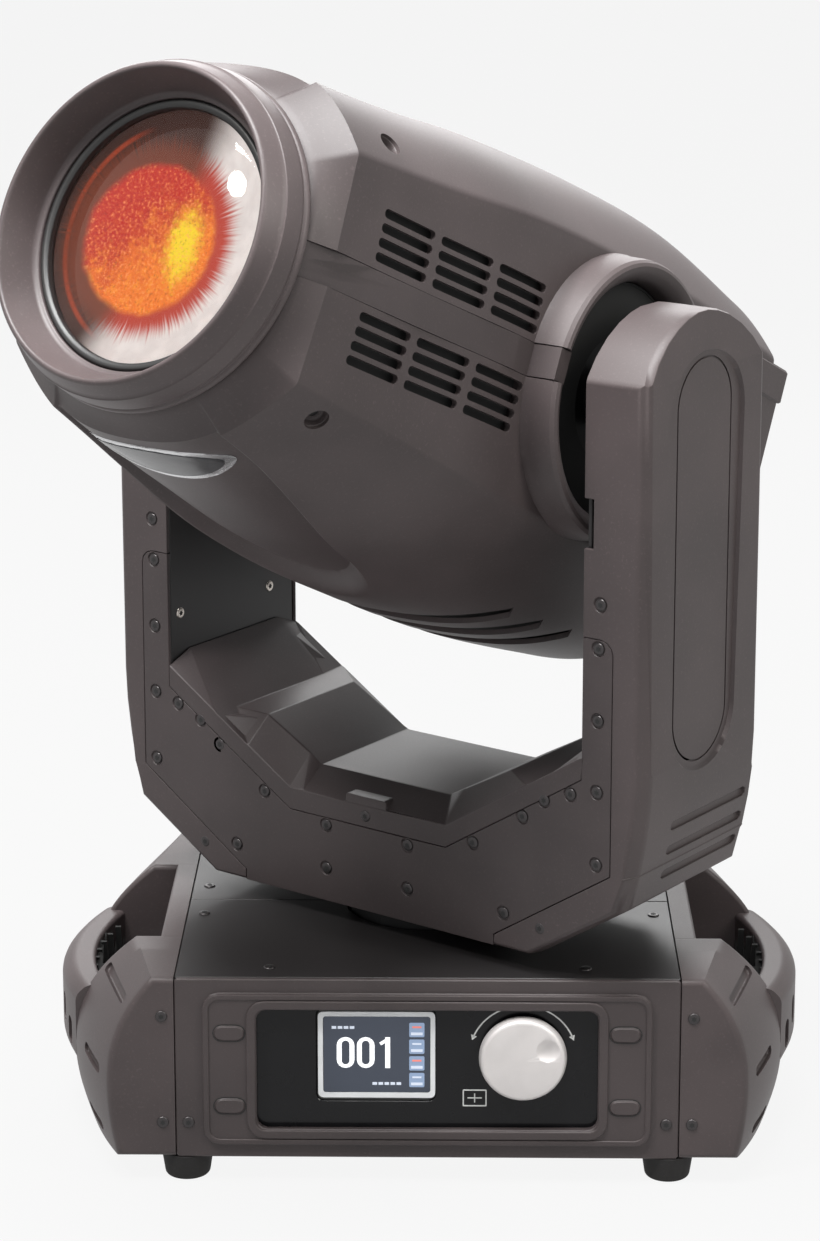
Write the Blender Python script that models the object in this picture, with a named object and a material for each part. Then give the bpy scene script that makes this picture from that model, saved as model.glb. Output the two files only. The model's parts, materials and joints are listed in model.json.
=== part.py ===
"""Moving head light: a base with two handles, a yoke that pans on it and a head that tilts in the yoke.

Metres, +Z up. The origin is on the pan axis, in the plane of the base's underside. The display faces -Y.
"""

import math

import bmesh
import bpy
from mathutils import Matrix, Vector

# Clearances
GAP = 0.0003
RUN = 0.0006
NECK_GAP = 0.002

# Base box
BASE_WIDTH = 0.285
BASE_DEPTH = 0.2532
BASE_HEIGHT = 0.1075
SHEET = 0.003
FOOT_HEIGHT = 0.0155
FOOT_TOP_RADIUS = 0.015
FOOT_TIP_RADIUS = 0.013
FOOT_INSET = 0.0205
FOOT_POCKET = 0.0008

# Side covers and their handles
SIDE_END_REACH = 0.0375
SIDE_MID_REACH = 0.0705
SIDE_TOP_END = 0.0121
SIDE_TOP_MID = 0.0269
SIDE_BELLY = 0.043
SIDE_TUCK = 0.14
SIDE_FULLNESS = 2.3
STRIP_WIDTH = 0.0125
FINGER_LENGTH = 0.116
HANDLE_PROUD = 0.0055
HANDLE_THICK = 0.020
HANDLE_TOP = 0.0785
HANDLE_BOTTOM = 0.016
HANDLE_HOLE_OFFSET = 0.034
HANDLE_HOLE_WIDTH = 0.009
HANDLE_HOLE_HEIGHT = 0.018
HANDLE_HOLE_DEPTH = 0.006

# Front panel and its controls
FRAME_WIDTH = 0.253
FRAME_HEIGHT = 0.0905
FRAME_RADIUS = 0.009
FRAME_PROUD = 0.0016
WINDOW_WIDTH = 0.193
WINDOW_HEIGHT = 0.072
WINDOW_RADIUS = 0.006
PAD_LENGTH = 0.017
PAD_WIDTH = 0.0085
PAD_PROUD = 0.001
PAD_SPREAD = 0.2235
PAD_RISE = 0.044
LCD_WIDTH = 0.059
LCD_HEIGHT = 0.047
LCD_OFFSET = -0.029
LCD_RIM = 0.004
LCD_DEPTH = 0.008
LCD_SUNK = 0.0006
KNOB_RADIUS = 0.025
KNOB_THICK = 0.007
KNOB_OFFSET = 0.054
KNOB_RISE = 0.0609
PRESS_TRAVEL = 0.001
DIMPLE_RADIUS = 0.010
DIMPLE_DEPTH = 0.0026
DIMPLE_REACH = 0.016
DIMPLE_ANGLE = 24
ENCODER_SIDE = 0.028
ENCODER_DEPTH = 0.014
ENCODER_SHAFT_RADIUS = 0.003
PLUNGER_RADIUS = 0.006
PLUNGER_THICK = 0.003

# Rear panel sockets
SOCKET_RISE = 0.056
INLET_WIDTH = 0.046
INLET_HEIGHT = 0.026
INLET_OFFSET = -0.095
FUSE_RADIUS = 0.008
FUSE_OFFSET = -0.047
XLR_RADIUS = 0.0118
XLR_FLANGE = 0.028
XLR_OFFSETS = (0.020, 0.066)
SOCKET_FLANGE_THICK = 0.0025
SOCKET_DEPTH = 0.018
SOCKET_WALL = 0.0025

# Pan drive
PAN_REST = 35.8
PEDESTAL_RADIUS = 0.040
PEDESTAL_HEIGHT = 0.066
PAN_SHAFT_RADIUS = 0.020
PAN_SHAFT_FOOT = 0.024
BEARING_THICK = 0.014
BEARING_WALL = 0.012
PAN_PULLEY_RADIUS = 0.042
PULLEY_THICK = 0.011
MOTOR_PULLEY_RADIUS = 0.012
MOTOR_SHAFT_RADIUS = 0.004
MOTOR_SIDE = 0.0564
MOTOR_LENGTH = 0.056
PAN_MOTOR_DISTANCE = 0.098
PAN_MOTOR_ANGLE = 140
BELT_THICK = 0.0016
BELT_WIDTH = 0.009
NECK_RADIUS = 0.048

# Yoke
YOKE_BOTTOM = 0.1193
YOKE_HALF_DEPTH = 0.0616
ARM_INNER = 0.1487
ARM_OUTER = 0.188
ARM_SEAM = 0.1681
ARM_ARCH_RADIUS = 0.074
ARM_ARCH_DROP = 0.017
ARM_WALL = 0.003
ARM_CHAMFER_SIDE = 0.0045
ARM_CHAMFER_TOP = 0.004
ARM_CHAMFER_LOW = 0.010
ARM_TOP_LEAN = 0.004
CORNER_LOW = 0.1137
CORNER_HIGH = 0.171
CORNER_HEIGHT = 0.156
FLARE_HEIGHT = 0.235
SEAM_LOW = 0.0902
SEAM_LOW_HEIGHT = 0.126
SEAM_HIGH_HEIGHT = 0.177
PLATE_TOP = 0.311
PLATE_VALLEY_HALF = 0.0564
PLATE_VALLEY = 0.1704
PLATE_SHOULDER = 0.229
RIM_HEIGHT = 0.013
FLOOR_HALF_DEPTH = 0.042
FLOOR_HALF = 0.0465
FLOOR_HEIGHT = 0.195
STEP_INNER = 0.088
STEP_OUTER = 0.112
STEP_HEIGHT = 0.218
FLOOR_SHOULDER = 0.249
FLOOR_WALL = 0.003
TAB_WIDTH = 0.0292
TAB_RISE = 0.0055
TAB_OFFSET = -0.0007
LOCK_SLOT_WIDTH = 0.006
LOCK_SLOT_LOW = 0.361
LOCK_SLOT_HIGH = 0.389
INSET_HALF_WIDTH = 0.028
INSET_RISE = 0.049
INSET_BOTTOM = 0.232
INSET_GROOVE = 0.0016
INSET_DEPTH = 0.0016
FLUTE_FRONT = -0.026
FLUTE_REAR = 0.0535
FLUTE_HEIGHT = 0.0055
FLUTE_PITCH = 0.0149
FLUTE_DEPTH = 0.0018
FLUTE_TOP = 0.1997
FLUTE_COUNT = 3
INNER_PLATE_THICK = 0.0025

# Tilt drive
TILT_HEIGHT = 0.430
TILT_REST = 25.0
TILT_SHAFT_RADIUS = 0.016
TILT_FLANGE_RADIUS = 0.034
TILT_BEARING_WALL = 0.009
TILT_BEARING_THICK = 0.0065
TILT_PULLEY_RADIUS = 0.040
TILT_PULLEY_THICK = 0.009
TILT_MOTOR_CLEAR = 0.0065
TILT_MOTOR_SIDE = 0.042
TILT_MOTOR_LENGTH = 0.056

# Head: distances forward of the tilt axis along the beam
HEAD_FRONT = 0.2885
SHELL_FRONT = 0.257
SHELL_REAR = -0.178
HEAD_REAR = -0.192
SHELL_WALL = 0.003
BAND_HALF = 0.0095
RAIL_THICK = 0.010
REAR_SEAM = 0.068
REAR_STRIP = 0.020
REAR_INSET = 0.002
REAR_COVER_FRONT = -0.088
COLLAR_RADIUS = 0.082
COLLAR_BORE = 0.066
COLLAR_REACH = 0.140
COLLAR_ROUND = 0.006
PIVOT_PLATE_INNER = 0.100
PIVOT_PLATE_OUTER = 0.1135
VENT_COLUMNS = 3
VENT_ROWS = 4
VENT_FRONT = 0.2115
VENT_PITCH = 0.0457
VENT_LENGTH = 0.0405
VENT_HEIGHT = 0.005
VENT_LOWEST = 0.016
VENT_ROW_PITCH = 0.0077
LOUVRE_COUNT = 3
LOUVRE_FIRST = -0.012
LOUVRE_PITCH = 0.033
LOUVRE_WIDTH = 0.015
LOUVRE_REACH = 0.069
LOUVRE_SWEEP = 0.028
REAR_SLOTS = 6
REAR_SLOT_PITCH = 0.0135
REAR_SLOT_WIDTH = 0.006
REAR_SLOT_LENGTH = 0.104

# Head optics
RIM_RADIUS = 0.0865
RIM_INNER = 0.082
BEZEL_STEP_RADIUS = 0.091
BEZEL_STEP = 0.276
BEZEL_BACK_RADIUS = 0.095
LENS_RADIUS = 0.0655
LENS_EDGE = 0.004
LENS_BULGE = 0.012
LENS_FRONT = 0.262
LENS_RING_WALL = 0.0045
LENS_RING_LENGTH = 0.014
FRONT_PLATE_BORE = 0.060
BULKHEAD_THICK = 0.004
MIDDLE_BULKHEAD = 0.070
REAR_BULKHEAD = -0.066
ROD_RADIUS = 0.004
ROD_SPREAD = 0.067
CARRIAGE_REST = 0.165
CARRIAGE_TRAVEL = 0.035
CARRIAGE_THICK = 0.012
CARRIAGE_RADIUS = 0.076
FOCUS_LENS_RADIUS = 0.040
FOCUS_LENS_THICK = 0.014
WHEEL_RADIUS = 0.052
WHEEL_THICK = 0.002
WHEEL_OFFSET = 0.042
WHEEL_HOLES = 7
WHEEL_HOLE_RADIUS = 0.012
WHEEL_SPACING = 0.010
WHEEL_AXLE_RADIUS = 0.004
REFLECTOR_RADIUS = 0.046
REFLECTOR_DEPTH = 0.040
REFLECTOR_WALL = 0.003
LAMP_RADIUS = 0.006
LAMP_LENGTH = 0.046
LAMP_BASE_RADIUS = 0.016
LAMP_BASE_LENGTH = 0.016
FAN_RADIUS = 0.046
FAN_HUB_RADIUS = 0.018
FAN_BLADES = 7
FAN_DEPTH = 0.014
FAN_CENTRE = -0.150
BADGE_LENGTH = 0.062
BADGE_WIDTH = 0.026
BADGE_THICK = 0.002
BADGE_FORWARD = 0.205

# Facets of round pieces
ROUND = 20
SMALL_ROUND = 12
FINE_ROUND = 30

HALF_WIDTH = BASE_WIDTH / 2
HALF_DEPTH = BASE_DEPTH / 2
BEARING_SEAT = PEDESTAL_HEIGHT + GAP
PAN_PULLEY_SEAT = BEARING_SEAT + BEARING_THICK + GAP
NECK_SEAT = PAN_PULLEY_SEAT + PULLEY_THICK + GAP
ARM_ARCH_CENTRE = TILT_HEIGHT - ARM_ARCH_DROP
INSET_TOP = ARM_ARCH_CENTRE + INSET_RISE
TILT_MOTOR_HEIGHT = STEP_HEIGHT - FLOOR_WALL - TILT_MOTOR_CLEAR - TILT_MOTOR_SIDE / 2

# Sections of the head's covers from front to rear: place along the beam, half width at the band,
# height of the sides' edge, upper and lower crown heights, squareness
HEAD_SECTIONS = (
    (SHELL_FRONT, 0.088, 0.058, 0.104, 0.102, 1.9),
    (0.170, 0.1045, 0.067, 0.111, 0.124, 2.3),
    (0.095, 0.1185, 0.074, 0.1195, 0.137, 2.5),
    (0.000, 0.122, 0.078, 0.1275, 0.1405, 2.5),
    (-0.090, 0.122, 0.078, 0.1295, 0.140, 2.5),
    (SHELL_REAR, 0.121, 0.072, 0.117, 0.132, 1.9),
)
SIDE_LEAN = 0.05
UNDERSIDE_SQUARENESS = 1.8

# Looks: colour, roughness, metallic
CHARCOAL = ((0.055, 0.052, 0.052), 0.55, 0.0)
BLACK_PAINT = ((0.020, 0.020, 0.021), 0.40, 0.0)
BLACK_METAL = ((0.030, 0.030, 0.032), 0.45, 0.8)
BARE_METAL = ((0.62, 0.63, 0.65), 0.35, 1.0)
SILVER = ((0.75, 0.75, 0.74), 0.40, 0.6)
GLOSS_BLACK = ((0.008, 0.008, 0.009), 0.10, 0.0)
SCREEN = ((0.02, 0.03, 0.06), 0.10, 0.0)
RUBBER = ((0.020, 0.020, 0.020), 0.80, 0.0)
GLASS = ((0.85, 0.60, 0.45), 0.05, 0.0)
MIRROR = ((0.85, 0.86, 0.88), 0.08, 1.0)
ORANGE = ((0.80, 0.25, 0.05), 0.30, 0.4)

# Directions in which a prism or a turned piece can run
DIRECTIONS = {
    "X": Matrix.Rotation(math.pi / 2, 4, "Y"),
    "Y": Matrix.Rotation(-math.pi / 2, 4, "X"),
    "Z": Matrix.Identity(4),
    "BEAM": Matrix.Rotation(math.pi / 2, 4, "X"),
}


def start_clean():
    for piece in list(bpy.data.objects):
        bpy.data.objects.remove(piece, do_unlink=True)


def add_empty(name, parent=None, place=(0, 0, 0), turn=(0, 0, 0)):
    """An axis or group: its children are modelled in its own frame."""
    axis = bpy.data.objects.new(name, None)
    axis.empty_display_size = 0.05
    axis.parent = parent
    axis.location = place
    axis.rotation_euler = turn
    bpy.context.scene.collection.objects.link(axis)
    return axis


def add_mesh(name, shape, parent):
    mesh = bpy.data.meshes.new(name)
    shape.to_mesh(mesh)
    shape.free()
    piece = bpy.data.objects.new(name, mesh)
    piece.parent = parent
    bpy.context.scene.collection.objects.link(piece)
    return piece


def add_piece(name, shape, look, parent=None, smooth=False):
    """One sub-part of the light, with a material of its own."""
    piece = add_mesh(name, shape, parent)
    colour, roughness, metallic = look
    material = bpy.data.materials.new(name)
    material.use_nodes = True
    surface = material.node_tree.nodes["Principled BSDF"]
    surface.inputs["Base Color"].default_value = (*colour, 1.0)
    surface.inputs["Roughness"].default_value = roughness
    surface.inputs["Metallic"].default_value = metallic
    piece.data.materials.append(material)
    if smooth:
        piece.data.shade_smooth()
    return piece


def combine(piece, shape, operation):
    """Joins a shape to a piece, or cuts it away, by a Boolean with a hidden helper."""
    helper = add_mesh(f"{piece.name}_tool_{len(piece.modifiers)}", shape, piece.parent)
    helper.hide_render = True
    helper.display_type = "WIRE"
    modifier = piece.modifiers.new(helper.name, "BOOLEAN")
    modifier.operation = operation
    modifier.solver = "EXACT"
    modifier.object = helper


def join(piece, shape):
    combine(piece, shape, "UNION")


def cut(piece, shape):
    combine(piece, shape, "DIFFERENCE")


def face_out(shape):
    bmesh.ops.recalc_face_normals(shape, faces=shape.faces)
    return shape


def lofted(rings, looped=False):
    """A closed body through rings of equally many points; a looped one joins its two ends."""
    shape = bmesh.new()
    rows = [[shape.verts.new(point) for point in ring] for ring in rings]
    pairs = list(zip(rows, rows[1:]))
    if looped:
        pairs.append((rows[-1], rows[0]))
    else:
        shape.faces.new(rows[0])
        shape.faces.new(rows[-1])
    for near, far in pairs:
        for here in range(len(near)):
            there = (here + 1) % len(near)
            shape.faces.new((near[here], near[there], far[there], far[here]))
    return face_out(shape)


def on_axis(axis, across, along):
    """The point with this place along the axis; the two other coordinates keep their X, Y, Z order."""
    first, second = across
    places = {"X": (along, first, second), "Y": (first, along, second), "Z": (first, second, along)}
    return places[axis]


def prism(outline, low, high, axis="Z"):
    """A flat outline drawn out along an axis."""
    return lofted([[on_axis(axis, point, along) for point in outline] for along in (low, high)])


def hollow_prism(outside, inside, low, high, axis="Z"):
    """A band between two outlines with the same number of points, drawn out along an axis."""
    corners = ((outside, low), (outside, high), (inside, high), (inside, low))
    return lofted([[on_axis(axis, point, along) for point in outline] for outline, along in corners], True)


def box(low, high):
    outline = [(low[0], low[1]), (high[0], low[1]), (high[0], high[1]), (low[0], high[1])]
    return prism(outline, low[2], high[2])


def merged(shapes):
    """Separate shapes as one mesh, for a cutter or a pattern."""
    whole = bmesh.new()
    for shape in shapes:
        mesh = bpy.data.meshes.new("pattern")
        shape.to_mesh(mesh)
        shape.free()
        whole.from_mesh(mesh)
        bpy.data.meshes.remove(mesh)
    return whole


def turned(profile, direction="Z", centre=(0, 0, 0), steps=ROUND):
    """A closed profile of (radius, height) points, spun about an axis through the centre."""
    shape = bmesh.new()
    points = [shape.verts.new((radius, 0, height)) for radius, height in profile]
    edges = []
    for here, there in zip(points, points[1:] + points[:1]):
        if here.co.x > 0 or there.co.x > 0:
            edges.append(shape.edges.new((here, there)))
    bmesh.ops.spin(
        shape,
        geom=points + edges,
        axis=(0, 0, 1),
        cent=(0, 0, 0),
        angle=math.tau,
        steps=steps,
        use_merge=True,
    )
    bmesh.ops.remove_doubles(shape, verts=shape.verts, dist=1e-6)
    bmesh.ops.transform(shape, matrix=Matrix.Translation(centre) @ DIRECTIONS[direction], verts=shape.verts)
    return face_out(shape)


def ring(bore, radius, low, high, direction="Z", centre=(0, 0, 0), steps=ROUND):
    return turned([(bore, low), (radius, low), (radius, high), (bore, high)], direction, centre, steps)


def disc(radius, low, high, direction="Z", centre=(0, 0, 0), steps=ROUND):
    return turned([(0, low), (radius, low), (radius, high), (0, high)], direction, centre, steps)


def arc(centre, radius, start, end, steps):
    """Points on an arc, from one angle in degrees to another."""
    points = []
    for step in range(steps + 1):
        angle = math.radians(start + (end - start) * step / steps)
        points.append((centre[0] + radius * math.cos(angle), centre[1] + radius * math.sin(angle)))
    return points


def rounded_rectangle(width, height, radius, centre=(0, 0), steps=3):
    points = []
    corners = ((1, 1, 0), (-1, 1, 90), (-1, -1, 180), (1, -1, 270))
    for side, level, start in corners:
        middle = (centre[0] + side * (width / 2 - radius), centre[1] + level * (height / 2 - radius))
        points += arc(middle, radius, start, start + 90, steps)
    return points


def obround(length, width, centre=(0, 0), steps=6):
    """A slot outline with half-round ends, long along its first coordinate."""
    reach = (length - width) / 2
    right = arc((centre[0] + reach, centre[1]), width / 2, -90, 90, steps)
    left = arc((centre[0] - reach, centre[1]), width / 2, 90, 270, steps)
    return right + left


def belt_outline(first, first_radius, second, second_radius, steps=10):
    """The outline of a belt that runs round two circles, with its facets outside them."""
    start, end = Vector(first), Vector(second)
    heading = math.degrees(math.atan2(end.y - start.y, end.x - start.x))
    lean = math.degrees(math.asin((first_radius - second_radius) / (end - start).length))
    clear = 1 / math.cos(math.radians((90 + abs(lean)) / steps))
    round_first = arc(first, first_radius * clear, heading + 90 - lean, heading + 270 + lean, steps)
    round_second = arc(second, second_radius * clear, heading - 90 + lean, heading + 90 - lean, steps)
    return round_first + round_second


def between(keys, place):
    """The value at a place on a broken line of (place, value) keys."""
    for (low, low_value), (high, high_value) in zip(keys, keys[1:]):
        if place <= high:
            share = max(0.0, (place - low) / (high - low))
            return low_value + (high_value - low_value) * share
    return keys[-1][1]


def mirrored(outline):
    """An outline that starts and ends beside the middle, completed with its mirror image."""
    return outline + [(-across, height) for across, height in reversed(outline)]


# Base


def side_wall_outline():
    top = BASE_HEIGHT - SHEET - GAP
    inner = HALF_WIDTH - SHEET
    return mirrored([(HALF_WIDTH, 0), (HALF_WIDTH, top), (inner, top), (inner, SHEET)])


def foot_places():
    across = HALF_WIDTH + GAP + FOOT_TOP_RADIUS - FOOT_INSET
    along = HALF_DEPTH - FOOT_TOP_RADIUS
    return [(-across, -along, 0), (across, -along, 0), (-across, along, 0), (across, along, 0)]


def add_chassis():
    depth = HALF_DEPTH - SHEET - GAP
    chassis = add_piece("base_chassis", prism(side_wall_outline(), -depth, depth, "Y"), BLACK_METAL)
    bore = PAN_SHAFT_RADIUS + RUN
    floor = PAN_SHAFT_FOOT - NECK_GAP
    pedestal = [
        (0, SHEET / 2),
        (PEDESTAL_RADIUS, SHEET / 2),
        (PEDESTAL_RADIUS, PEDESTAL_HEIGHT),
        (bore, PEDESTAL_HEIGHT),
        (bore, floor),
        (0, floor),
    ]
    join(chassis, turned(pedestal))
    hole = FOOT_TOP_RADIUS + RUN
    pockets = [disc(hole, -SHEET, FOOT_POCKET, "Z", place, SMALL_ROUND) for place in foot_places()]
    cut(chassis, merged(pockets))


def embossed_panel(name, side):
    """A base panel with a raised frame; side is -1 at the front and 1 at the rear."""
    outer = side * HALF_DEPTH
    inner = side * (HALF_DEPTH - SHEET)
    middle = (0, BASE_HEIGHT / 2)
    sheet = rounded_rectangle(BASE_WIDTH, BASE_HEIGHT, SHEET / 2, middle, 1)
    panel = add_piece(name, prism(sheet, outer, inner, "Y"), CHARCOAL)
    frame = rounded_rectangle(FRAME_WIDTH, FRAME_HEIGHT, FRAME_RADIUS, middle)
    join(panel, prism(frame, outer + side * FRAME_PROUD, outer - side * SHEET / 2, "Y"))
    return panel


def add_front_panel():
    panel = embossed_panel("base_front_panel", -1)
    face = -HALF_DEPTH - FRAME_PROUD
    middle = BASE_HEIGHT / 2
    pads = []
    for side in (-1, 1):
        for level in (-1, 1):
            centre = (side * PAD_SPREAD / 2, middle + level * PAD_RISE / 2)
            outline = obround(PAD_LENGTH, PAD_WIDTH, centre, 5)
            pads.append(prism(outline, face - PAD_PROUD, face + PAD_PROUD, "Y"))
    join(panel, merged(pads))
    window = rounded_rectangle(WINDOW_WIDTH, WINDOW_HEIGHT, WINDOW_RADIUS, (0, middle))
    cut(panel, prism(window, face - SHEET, -HALF_DEPTH + 2 * SHEET, "Y"))


def add_rear_panel():
    panel = embossed_panel("base_rear_panel", 1)
    start, end = HALF_DEPTH - 2 * SHEET, HALF_DEPTH + FRAME_PROUD + SHEET
    place = (INLET_OFFSET, SOCKET_RISE)
    inlet = rounded_rectangle(INLET_WIDTH + 2 * GAP, INLET_HEIGHT + 2 * GAP, SOCKET_WALL, place)
    holes = [prism(inlet, start, end, "Y")]
    for offset, radius in [(FUSE_OFFSET, FUSE_RADIUS)] + [(place, XLR_RADIUS) for place in XLR_OFFSETS]:
        holes.append(disc(radius + GAP, start, end, "Y", (offset, 0, SOCKET_RISE), SMALL_ROUND))
    cut(panel, merged(holes))


def add_top_plates():
    bottom, top = BASE_HEIGHT - SHEET, BASE_HEIGHT
    front_edge = HALF_DEPTH - SHEET - GAP
    for name, side in (("base_top_front", -1), ("base_top_rear", 1)):
        near, far = sorted((side * GAP / 2, side * front_edge))
        plate = add_piece(name, box((-HALF_WIDTH, near, bottom), (HALF_WIDTH, far, top)), BLACK_PAINT)
        cut(plate, disc(NECK_RADIUS + NECK_GAP, bottom - SHEET, top + SHEET))


def side_reach(place):
    """How far a side cover bulges past the base box at a distance along the base."""
    drop = SIDE_MID_REACH - SIDE_END_REACH
    radius = (HALF_DEPTH**2 + drop**2) / (2 * drop)
    return SIDE_MID_REACH - radius + math.sqrt(radius**2 - place**2)


def side_section(place, steps=9):
    """A side cover's D-shaped section as (distance from the base box, height) points."""
    reach = side_reach(place)
    share = min(1.0, (HALF_DEPTH - abs(place)) / (HALF_DEPTH - FINGER_LENGTH / 2))
    top = SIDE_TOP_END + (SIDE_TOP_MID - SIDE_TOP_END) * share
    points = [(0, BASE_HEIGHT), (0, 0)]
    for step in range(steps + 1):
        height = BASE_HEIGHT * step / steps
        if height < SIDE_BELLY:
            out = reach * (1 - SIDE_TUCK * (1 - height / SIDE_BELLY) ** 2)
        else:
            rise = (height - SIDE_BELLY) / (BASE_HEIGHT - SIDE_BELLY)
            out = reach - (reach - top) * rise**SIDE_FULLNESS
        points.append((out, height))
    return points


def side_lobe(side, end):
    """The solid part of a side cover in front of the finger gap or behind it."""
    inner = HALF_WIDTH + GAP
    start = FINGER_LENGTH / 2
    rings = []
    for step in range(5):
        place = end * (start + (HALF_DEPTH - start) * step / 4)
        rings.append([(side * (inner + out), place, height) for out, height in side_section(place)])
    return lofted(rings)


def handle_face(place):
    """How far the carrying bar's outer face stands from the base box's side plane."""
    reach = FINGER_LENGTH / 2 + STRIP_WIDTH / 2
    return HALF_WIDTH + GAP + side_reach(place) + HANDLE_PROUD * (1 - (place / reach) ** 2)


def handle_bar(side):
    """The carrying bar, bowed like the cover; its ends run into both lobes."""
    reach = FINGER_LENGTH / 2 + STRIP_WIDTH / 2
    rings = []
    for step in range(9):
        place = reach * (step / 4 - 1)
        out = handle_face(place)
        back = out - HANDLE_THICK
        section = [
            (back, HANDLE_BOTTOM),
            (out - HANDLE_THICK / 2, HANDLE_BOTTOM),
            (out, HANDLE_BOTTOM + HANDLE_THICK),
            (out, HANDLE_TOP - HANDLE_THICK / 3),
            (out - HANDLE_THICK / 3, HANDLE_TOP),
            (back, HANDLE_TOP),
        ]
        rings.append([(side * across, place, height) for across, height in section])
    return lofted(rings)


def add_side_cover(name, side):
    cover = add_piece(name, side_lobe(side, -1), CHARCOAL)
    join(cover, side_lobe(side, 1))
    inner = HALF_WIDTH + GAP
    reach = FINGER_LENGTH / 2 + STRIP_WIDTH / 2
    near, far = sorted((side * (inner + GAP), side * (inner + STRIP_WIDTH)))
    join(cover, box((near, -reach, GAP), (far, reach, BASE_HEIGHT - GAP)))
    join(cover, handle_bar(side))
    middle = (HANDLE_BOTTOM + HANDLE_TOP) / 2
    floor = handle_face(HANDLE_HOLE_OFFSET) - HANDLE_HOLE_DEPTH
    near, far = sorted((side * floor, side * (floor + HANDLE_THICK)))
    holes = []
    for place in (-HANDLE_HOLE_OFFSET, HANDLE_HOLE_OFFSET):
        slot = obround(HANDLE_HOLE_HEIGHT, HANDLE_HOLE_WIDTH, (middle, place), 5)
        holes.append(prism([(across, height) for height, across in slot], near, far, "X"))
    cut(cover, merged(holes))


def add_feet():
    profile = [
        (0, -GAP),
        (FOOT_TOP_RADIUS, -GAP),
        (FOOT_TIP_RADIUS, GAP - FOOT_HEIGHT),
        (FOOT_TIP_RADIUS - GAP, -FOOT_HEIGHT),
        (0, -FOOT_HEIGHT),
    ]
    names = ("front_left", "front_right", "rear_left", "rear_right")
    for name, place in zip(names, foot_places()):
        add_piece(f"foot_{name}", turned(profile, "Z", place, SMALL_ROUND), RUBBER, None, True)


# Controls on the front panel

DISPLAY_FACE = -HALF_DEPTH + SHEET + GAP
DISPLAY_BACK = DISPLAY_FACE + SHEET
CONTROLS_FACE = DISPLAY_BACK + GAP
KNOB_BACK = DISPLAY_FACE - PRESS_TRAVEL - RUN
KNOB_FRONT = KNOB_BACK - KNOB_THICK
POCKET_FLOOR = CONTROLS_FACE + GAP + PLUNGER_THICK + PRESS_TRAVEL + RUN
SHAFT_END = POCKET_FLOOR + PLUNGER_THICK


def add_display():
    middle = BASE_HEIGHT / 2
    rim = 2 * FRAME_RADIUS
    outline = rounded_rectangle(WINDOW_WIDTH + rim, WINDOW_HEIGHT + rim, WINDOW_RADIUS, (0, middle))
    panel = add_piece("display_panel", prism(outline, DISPLAY_FACE, DISPLAY_BACK, "Y"), GLOSS_BLACK)
    width, height = LCD_WIDTH + 2 * LCD_RIM, LCD_HEIGHT + 2 * LCD_RIM
    start, end = DISPLAY_FACE - SHEET, DISPLAY_BACK + SHEET
    opening = rounded_rectangle(width + 2 * GAP, height + 2 * GAP, LCD_RIM, (LCD_OFFSET, KNOB_RISE))
    cut(panel, prism(opening, start, end, "Y"))
    cut(panel, disc(PLUNGER_RADIUS, start, end, "Y", (KNOB_OFFSET, 0, KNOB_RISE), SMALL_ROUND))
    screen = rounded_rectangle(width, height, LCD_RIM, (LCD_OFFSET, KNOB_RISE))
    slab = prism(screen, DISPLAY_FACE + LCD_SUNK, DISPLAY_BACK + LCD_DEPTH, "Y")
    module = add_piece("lcd_module", slab, SCREEN)
    board = rounded_rectangle(width + 2 * LCD_RIM, height + 2 * LCD_RIM, LCD_RIM, (LCD_OFFSET, KNOB_RISE))
    join(module, prism(board, CONTROLS_FACE, DISPLAY_BACK + LCD_DEPTH / 2, "Y"))


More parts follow.
